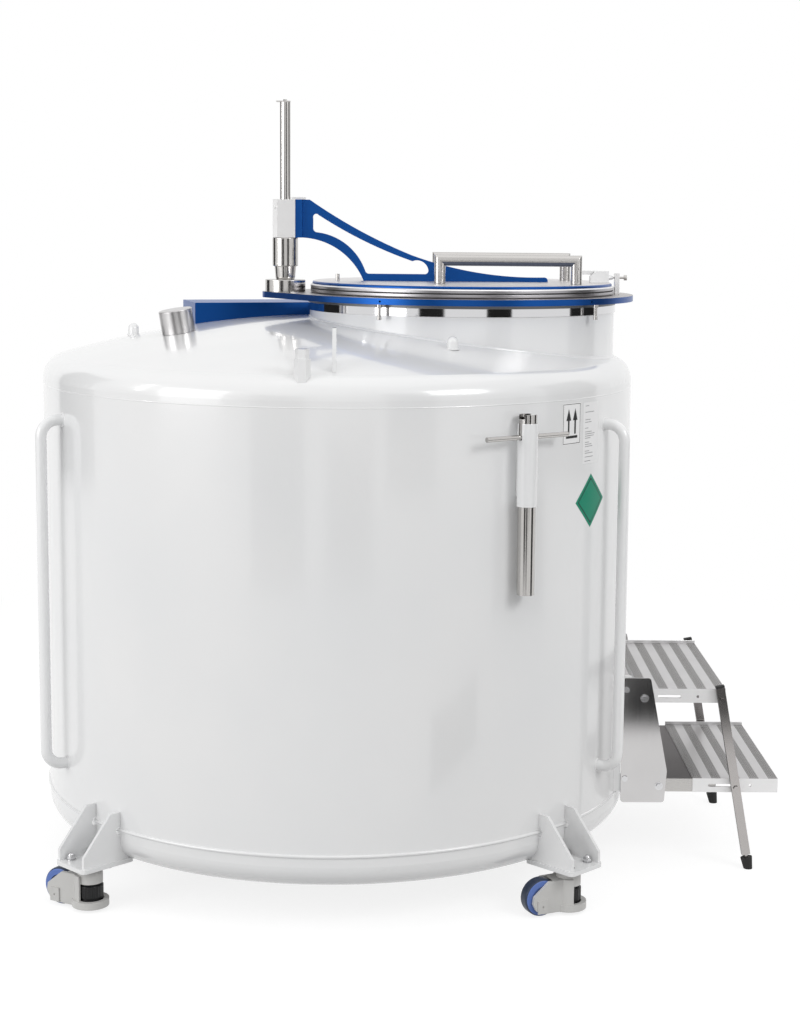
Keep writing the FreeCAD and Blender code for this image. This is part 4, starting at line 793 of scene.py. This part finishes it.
# %% Grey lines in rows
ROW_LINE = 1.5 * MM
ROW_MARGIN = 26 * MM
ROWS = ((1.199, 0.016), (1.184, 0.040), (1.166, 0.024), (1.160, 0.028), (1.146, 0.014),
        (1.137, 0.030), (1.132, 0.044), (1.127, 0.040), (1.122, 0.024), (1.112, 0.018),
        (1.107, 0.030), (1.102, 0.034), (1.091, 0.020), (1.086, 0.036), (1.077, 0.038),
        (1.067, 0.026))

ruled = []
for height, width in ROWS:
    azimuth = ROW_PANEL[0] + math.degrees((width / 2 - ROW_MARGIN) / shell_r)
    ruled.append(film(azimuth, height, width, ROW_LINE, PRINT_LIFT))
joined(ruled)
settle("label_lines", "tank", label_grey)
print("films on the shell, with", len(ROWS), "grey lines")

# %% [markdown]
# Welds are what makes a tank look welded. A fine bead closes the top seam, a heavier fillet follows
# the neck where it leaves the dome, and each grab handle and stud has a small fillet at its foot. A
# fillet is a torus; the one round the neck has each of its points lifted to the dome's height.

# %% Weld beads
CROWN_R, APEX_Z = 2.640, 1.3853
TOP_SEAM_Z = 1.218
HANDLE_TUBE_R = 13.5 * MM
STUD_CIRCLE_R, STUD_ANGLES = 0.533, (-58.0, 60.0, 180.0)
SEAM_WELD, NECK_WELD, HANDLE_WELD, STUD_WELD = 1.5 * MM, 3.5 * MM, 2.6 * MM, 2.0 * MM
HANDLE_WELD_R, STUD_WELD_R = 15 * MM, 15 * MM
SEAM_SUNK, NECK_PROUD = 0.5 * MM, 1.0 * MM


def dome_height(x, y):
    """Height of the dome over a point of the floor plan."""
    return APEX_Z - CROWN_R + math.sqrt(CROWN_R ** 2 - (x - axis_x) ** 2 - y ** 2)


def fillet(place, ring, wire, turn=(0, 0, 0), around=48):
    """Torus: the radius of its ring, then that of its wire."""
    return added(bpy.ops.mesh.primitive_torus_add, major_radius=ring, minor_radius=wire,
                 location=place, rotation=turn, major_segments=around, minor_segments=8)


fillet((axis_x, 0, TOP_SEAM_Z), shell_r - SEAM_SUNK, SEAM_WELD, around=180)
settle("top_seam_weld", "tank", enamel)

ring = fillet((neck_x, 0, 0), neck_r + NECK_PROUD, NECK_WELD, around=144)
bpy.ops.object.transform_apply(location=True, rotation=True, scale=True)
for vertex in ring.data.vertices:
    vertex.co.z += dome_height(vertex.co.x, vertex.co.y)
settle("neck_weld", "tank", enamel)

for k in range(1, 5):
    low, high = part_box("side_handle_%d" % k)
    grip = middle("side_handle_%d" % k)
    heading = math.atan2(grip.y, grip.x - axis_x)
    foot = Vector((axis_x + shell_r * math.cos(heading), shell_r * math.sin(heading), 0))
    outwards = (0, math.pi / 2, heading)
    joined([fillet(foot + Vector((0, 0, z)), HANDLE_WELD_R, HANDLE_WELD, outwards, around=28)
            for z in (low.z + HANDLE_TUBE_R, high.z - HANDLE_TUBE_R)])
    settle("side_handle_%d_welds" % k, "tank", enamel)

for k, angle in enumerate(STUD_ANGLES, 1):
    x = axis_x + STUD_CIRCLE_R * math.cos(math.radians(angle))
    y = STUD_CIRCLE_R * math.sin(math.radians(angle))
    fillet((x, y, dome_height(x, y)), STUD_WELD_R, STUD_WELD, around=24)
    settle("stud_weld_%d" % k, "tank", enamel)
print("welds laid")

# %% [markdown]
# A black rubber seal lies in the groove round the lid, and the adjusting wheel of each caster has
# ribs for the fingers. A rib is a small upright cylinder, sunk into the wheel's rim. One is made at
# the origin, and its copies stand round each wheel.

# %% Seal and knob ribs
SEAL_SUNK, SEAL_R = 1.9 * MM, 1.4 * MM
fillet((neck_x, 0, middle("lid_disc").z), lid_r - SEAL_SUNK, SEAL_R, around=180)
settle("lid_seal", "lid_carriage", black_rubber)

RIBS, RIB_R, RIB_SUNK = 24, 1.9 * MM, 0.8 * MM
KNOB_LOW, KNOB_HIGH = 22 * MM, 49 * MM

rib = added(bpy.ops.mesh.primitive_cylinder_add, vertices=8, radius=RIB_R,
            depth=KNOB_HIGH - KNOB_LOW)
for k in range(1, 5):
    low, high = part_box("caster_foot_%d" % k)
    centre = middle("caster_foot_%d" % k)
    ring_r = (high.x - low.x) / 2 - RIB_SUNK
    ribs = []
    for turn in range(RIBS):
        angle = 2 * math.pi * turn / RIBS
        ribs.append(copy_to(rib, (centre.x + ring_r * math.cos(angle),
                                  centre.y + ring_r * math.sin(angle),
                                  low.z + (KNOB_LOW + KNOB_HIGH) / 2)))
    joined(ribs)
    settle("caster_foot_%d_ribs" % k, "foot_%d" % k, black_nylon)
bpy.data.objects.remove(rib)
print("seal and", 4 * RIBS, "ribs")

# %% [markdown]
# The tank stands in a plain white studio. Large soft lamps light it from the left, the right and
# above, a narrow one draws a line on the post, and a small one brightens the dome's right shoulder.

# %% Lamps
scene = bpy.context.scene
scene.view_settings.view_transform = "Standard"


def lamp(name, place, aim, size, power):
    """Soft oblong lamp, of a size in metres and a power in watts, aimed at a point."""
    data = bpy.data.lights.new(name, "AREA")
    data.shape = "RECTANGLE"
    data.size, data.size_y = size
    data.energy = power
    made = bpy.data.objects.new(name, data)
    scene.collection.objects.link(made)
    made.location = place
    made.rotation_euler = (Vector(aim) - Vector(place)).to_track_quat("-Z", "Y").to_euler()


lamp("key_lamp", (-4.2, -3.2, 2.2), (0, 0, 0.9), (2.4, 3.0), 80)
lamp("fill_lamp", (3.4, -3.6, 3.6), (neck_x, 0, 1.2), (1.8, 1.8), 54)
lamp("top_lamp", (0.6, -0.2, 5.0), (0, 0, 1.0), (4.0, 3.0), 13)
lamp("strip_lamp", (-3.9, -1.2, 2.5), (0, 0, 1.4), (0.22, 1.6), 9)
lamp("shoulder_lamp", (2.4, -2.2, 2.7), (0.45, -0.5, 1.25), (0.8, 0.8), 9)


# %% [markdown]
# Polished metal shows what stands round it. In an all-white studio it would look flat, so seven dark
# cards stand round the tank. Only reflections see them: they give the tubes and the steel plates
# their dark lines. A card fades out towards its edges, or it would show as a hard oblong on the
# enamel.

# %% Cards for the reflections
CARD_GREY = (0.03, 0.03, 0.03)


def card(name, azimuth, distance, width, height, soft, shift=0.0):
    """Dark upright card at an azimuth from -Y, moved along X by `shift`, faded over `soft` metres."""
    made = added(bpy.ops.mesh.primitive_plane_add, size=1)
    made.name = name
    turned = math.radians(azimuth)
    made.location = (distance * math.sin(turned) + shift, -distance * math.cos(turned), height / 2)
    made.scale = (width, height, 1)
    made.rotation_euler = (math.pi / 2, 0, turned)
    finish = Finish(name)
    flat = finish.node("ShaderNodeTexCoord", output="Object")
    inner = []
    for axis, side in (("X", width), ("Y", height)):
        along = finish.node("ShaderNodeSeparateXYZ", {}, {0: flat}, output=axis)
        out = finish.node("ShaderNodeMath", {"operation": "ABSOLUTE"}, {0: along})
        inner.append((0.5 - out) * (side / soft))
    nearest = finish.node("ShaderNodeMath", {"operation": "MINIMUM"}, {0: inner[0], 1: inner[1]})
    mask = finish.node("ShaderNodeMapRange", {"interpolation_type": "SMOOTHSTEP"},
                       {"Value": nearest})
    clear = finish.node("ShaderNodeBsdfTransparent")
    dark = finish.node("ShaderNodeBsdfDiffuse", {}, {"Color": (*CARD_GREY, 1)})
    finish.surface(finish.node("ShaderNodeMixShader", {}, {0: mask, 1: clear, 2: dark}))
    paint(made, finish.material)
    made.visible_camera = False
    made.visible_diffuse = False
    made.visible_shadow = False
    made.visible_transmission = False


card("card_front", -21, 4.4, 1.6, 2.6, 0.2)
card("card_front_low", 3, 4.2, 1.5, 0.95, 0.35)
card("card_front_right", 26, 7.0, 2.4, 5.0, 0.2)
card("card_side_low", 66, 3.4, 1.6, 0.9, 0.2)
card("card_right", 98, 7.0, 4.0, 5.0, 0.2)
card("card_left", -112, 7.0, 3.6, 5.0, 0.2)
card("card_low", 0, 1.50, 0.80, 0.28, 0.06, shift=1.02)
print("seven cards for the reflections")

# %% [markdown]
# The world is white. Light Path tells who looks: the camera, reflections and glass see it at full
# strength, while it lights the tank a little more softly.

# %% World
LIGHTING, SEEN_WHITE = 0.70, 1.0
world = bpy.data.worlds.new("studio")
scene.world = world
world.use_nodes = True
tree = world.node_tree
rays = tree.nodes.new("ShaderNodeLightPath")
camera_or_gloss = tree.nodes.new("ShaderNodeMath")
camera_or_gloss.operation = "MAXIMUM"
tree.links.new(rays.outputs["Is Camera Ray"], camera_or_gloss.inputs[0])
tree.links.new(rays.outputs["Is Glossy Ray"], camera_or_gloss.inputs[1])
looked_at = tree.nodes.new("ShaderNodeMath")
looked_at.operation = "MAXIMUM"
tree.links.new(camera_or_gloss.outputs[0], looked_at.inputs[0])
tree.links.new(rays.outputs["Is Transmission Ray"], looked_at.inputs[1])
strength = tree.nodes.new("ShaderNodeMapRange")
strength.inputs["To Min"].default_value = LIGHTING
strength.inputs["To Max"].default_value = SEEN_WHITE
tree.links.new(looked_at.outputs[0], strength.inputs["Value"])
background = tree.nodes["Background"]
background.inputs["Color"].default_value = (1, 1, 1, 1)
tree.links.new(strength.outputs["Result"], background.inputs["Strength"])
print("world lights at", LIGHTING)

# %% [markdown]
# The floor has to look white and still carry the tank's shadow. Near the tank it is a grey surface,
# which takes the shadow, plus a glow that lifts it to white. Further out it fades into pure white, so
# no horizon shows. What lights the tank from below is a plain grey instead.

# %% Floor
FLOOR_SIZE = 60
FADE_START, FADE_END = 1.6, 3.5
SHADOW_GREY, BOUNCE_GREY = (0.26, 0.26, 0.26), (0.46, 0.46, 0.46)
NEAR_GLOW = 0.82

floor = added(bpy.ops.mesh.primitive_plane_add, size=FLOOR_SIZE, location=(0, 0, 0))
floor.name = "floor"
pale = Finish("pale_floor")
looks = [pale.node("ShaderNodeLightPath", output=kind)
         for kind in ("Is Camera Ray", "Is Glossy Ray", "Is Transmission Ray")]
seen = looks[0] + looks[1] + looks[2]
away = pale.node("ShaderNodeVectorMath", {"operation": "LENGTH"}, {0: pale.place()},
                 output="Value")
fade = pale.node("ShaderNodeMapRange", {},
                 {"Value": away, "From Min": FADE_START, "From Max": FADE_END})
dim = pale.node("ShaderNodeBsdfDiffuse", {}, {"Color": (*SHADOW_GREY, 1)})
glow = pale.node("ShaderNodeEmission", {}, {"Color": (1, 1, 1, 1), "Strength": NEAR_GLOW})
near = pale.node("ShaderNodeAddShader", {}, {0: dim, 1: glow})
white = pale.node("ShaderNodeEmission", {}, {"Color": (1, 1, 1, 1), "Strength": 1.0})
shown = pale.node("ShaderNodeMixShader", {}, {0: fade, 1: near, 2: white})
plain = pale.node("ShaderNodeBsdfDiffuse", {}, {"Color": (*BOUNCE_GREY, 1)})
pale.surface(pale.node("ShaderNodeMixShader", {}, {0: seen, 1: plain, 2: shown}))
paint(floor, pale.material)
print("floor fades to white at", FADE_END, "m")
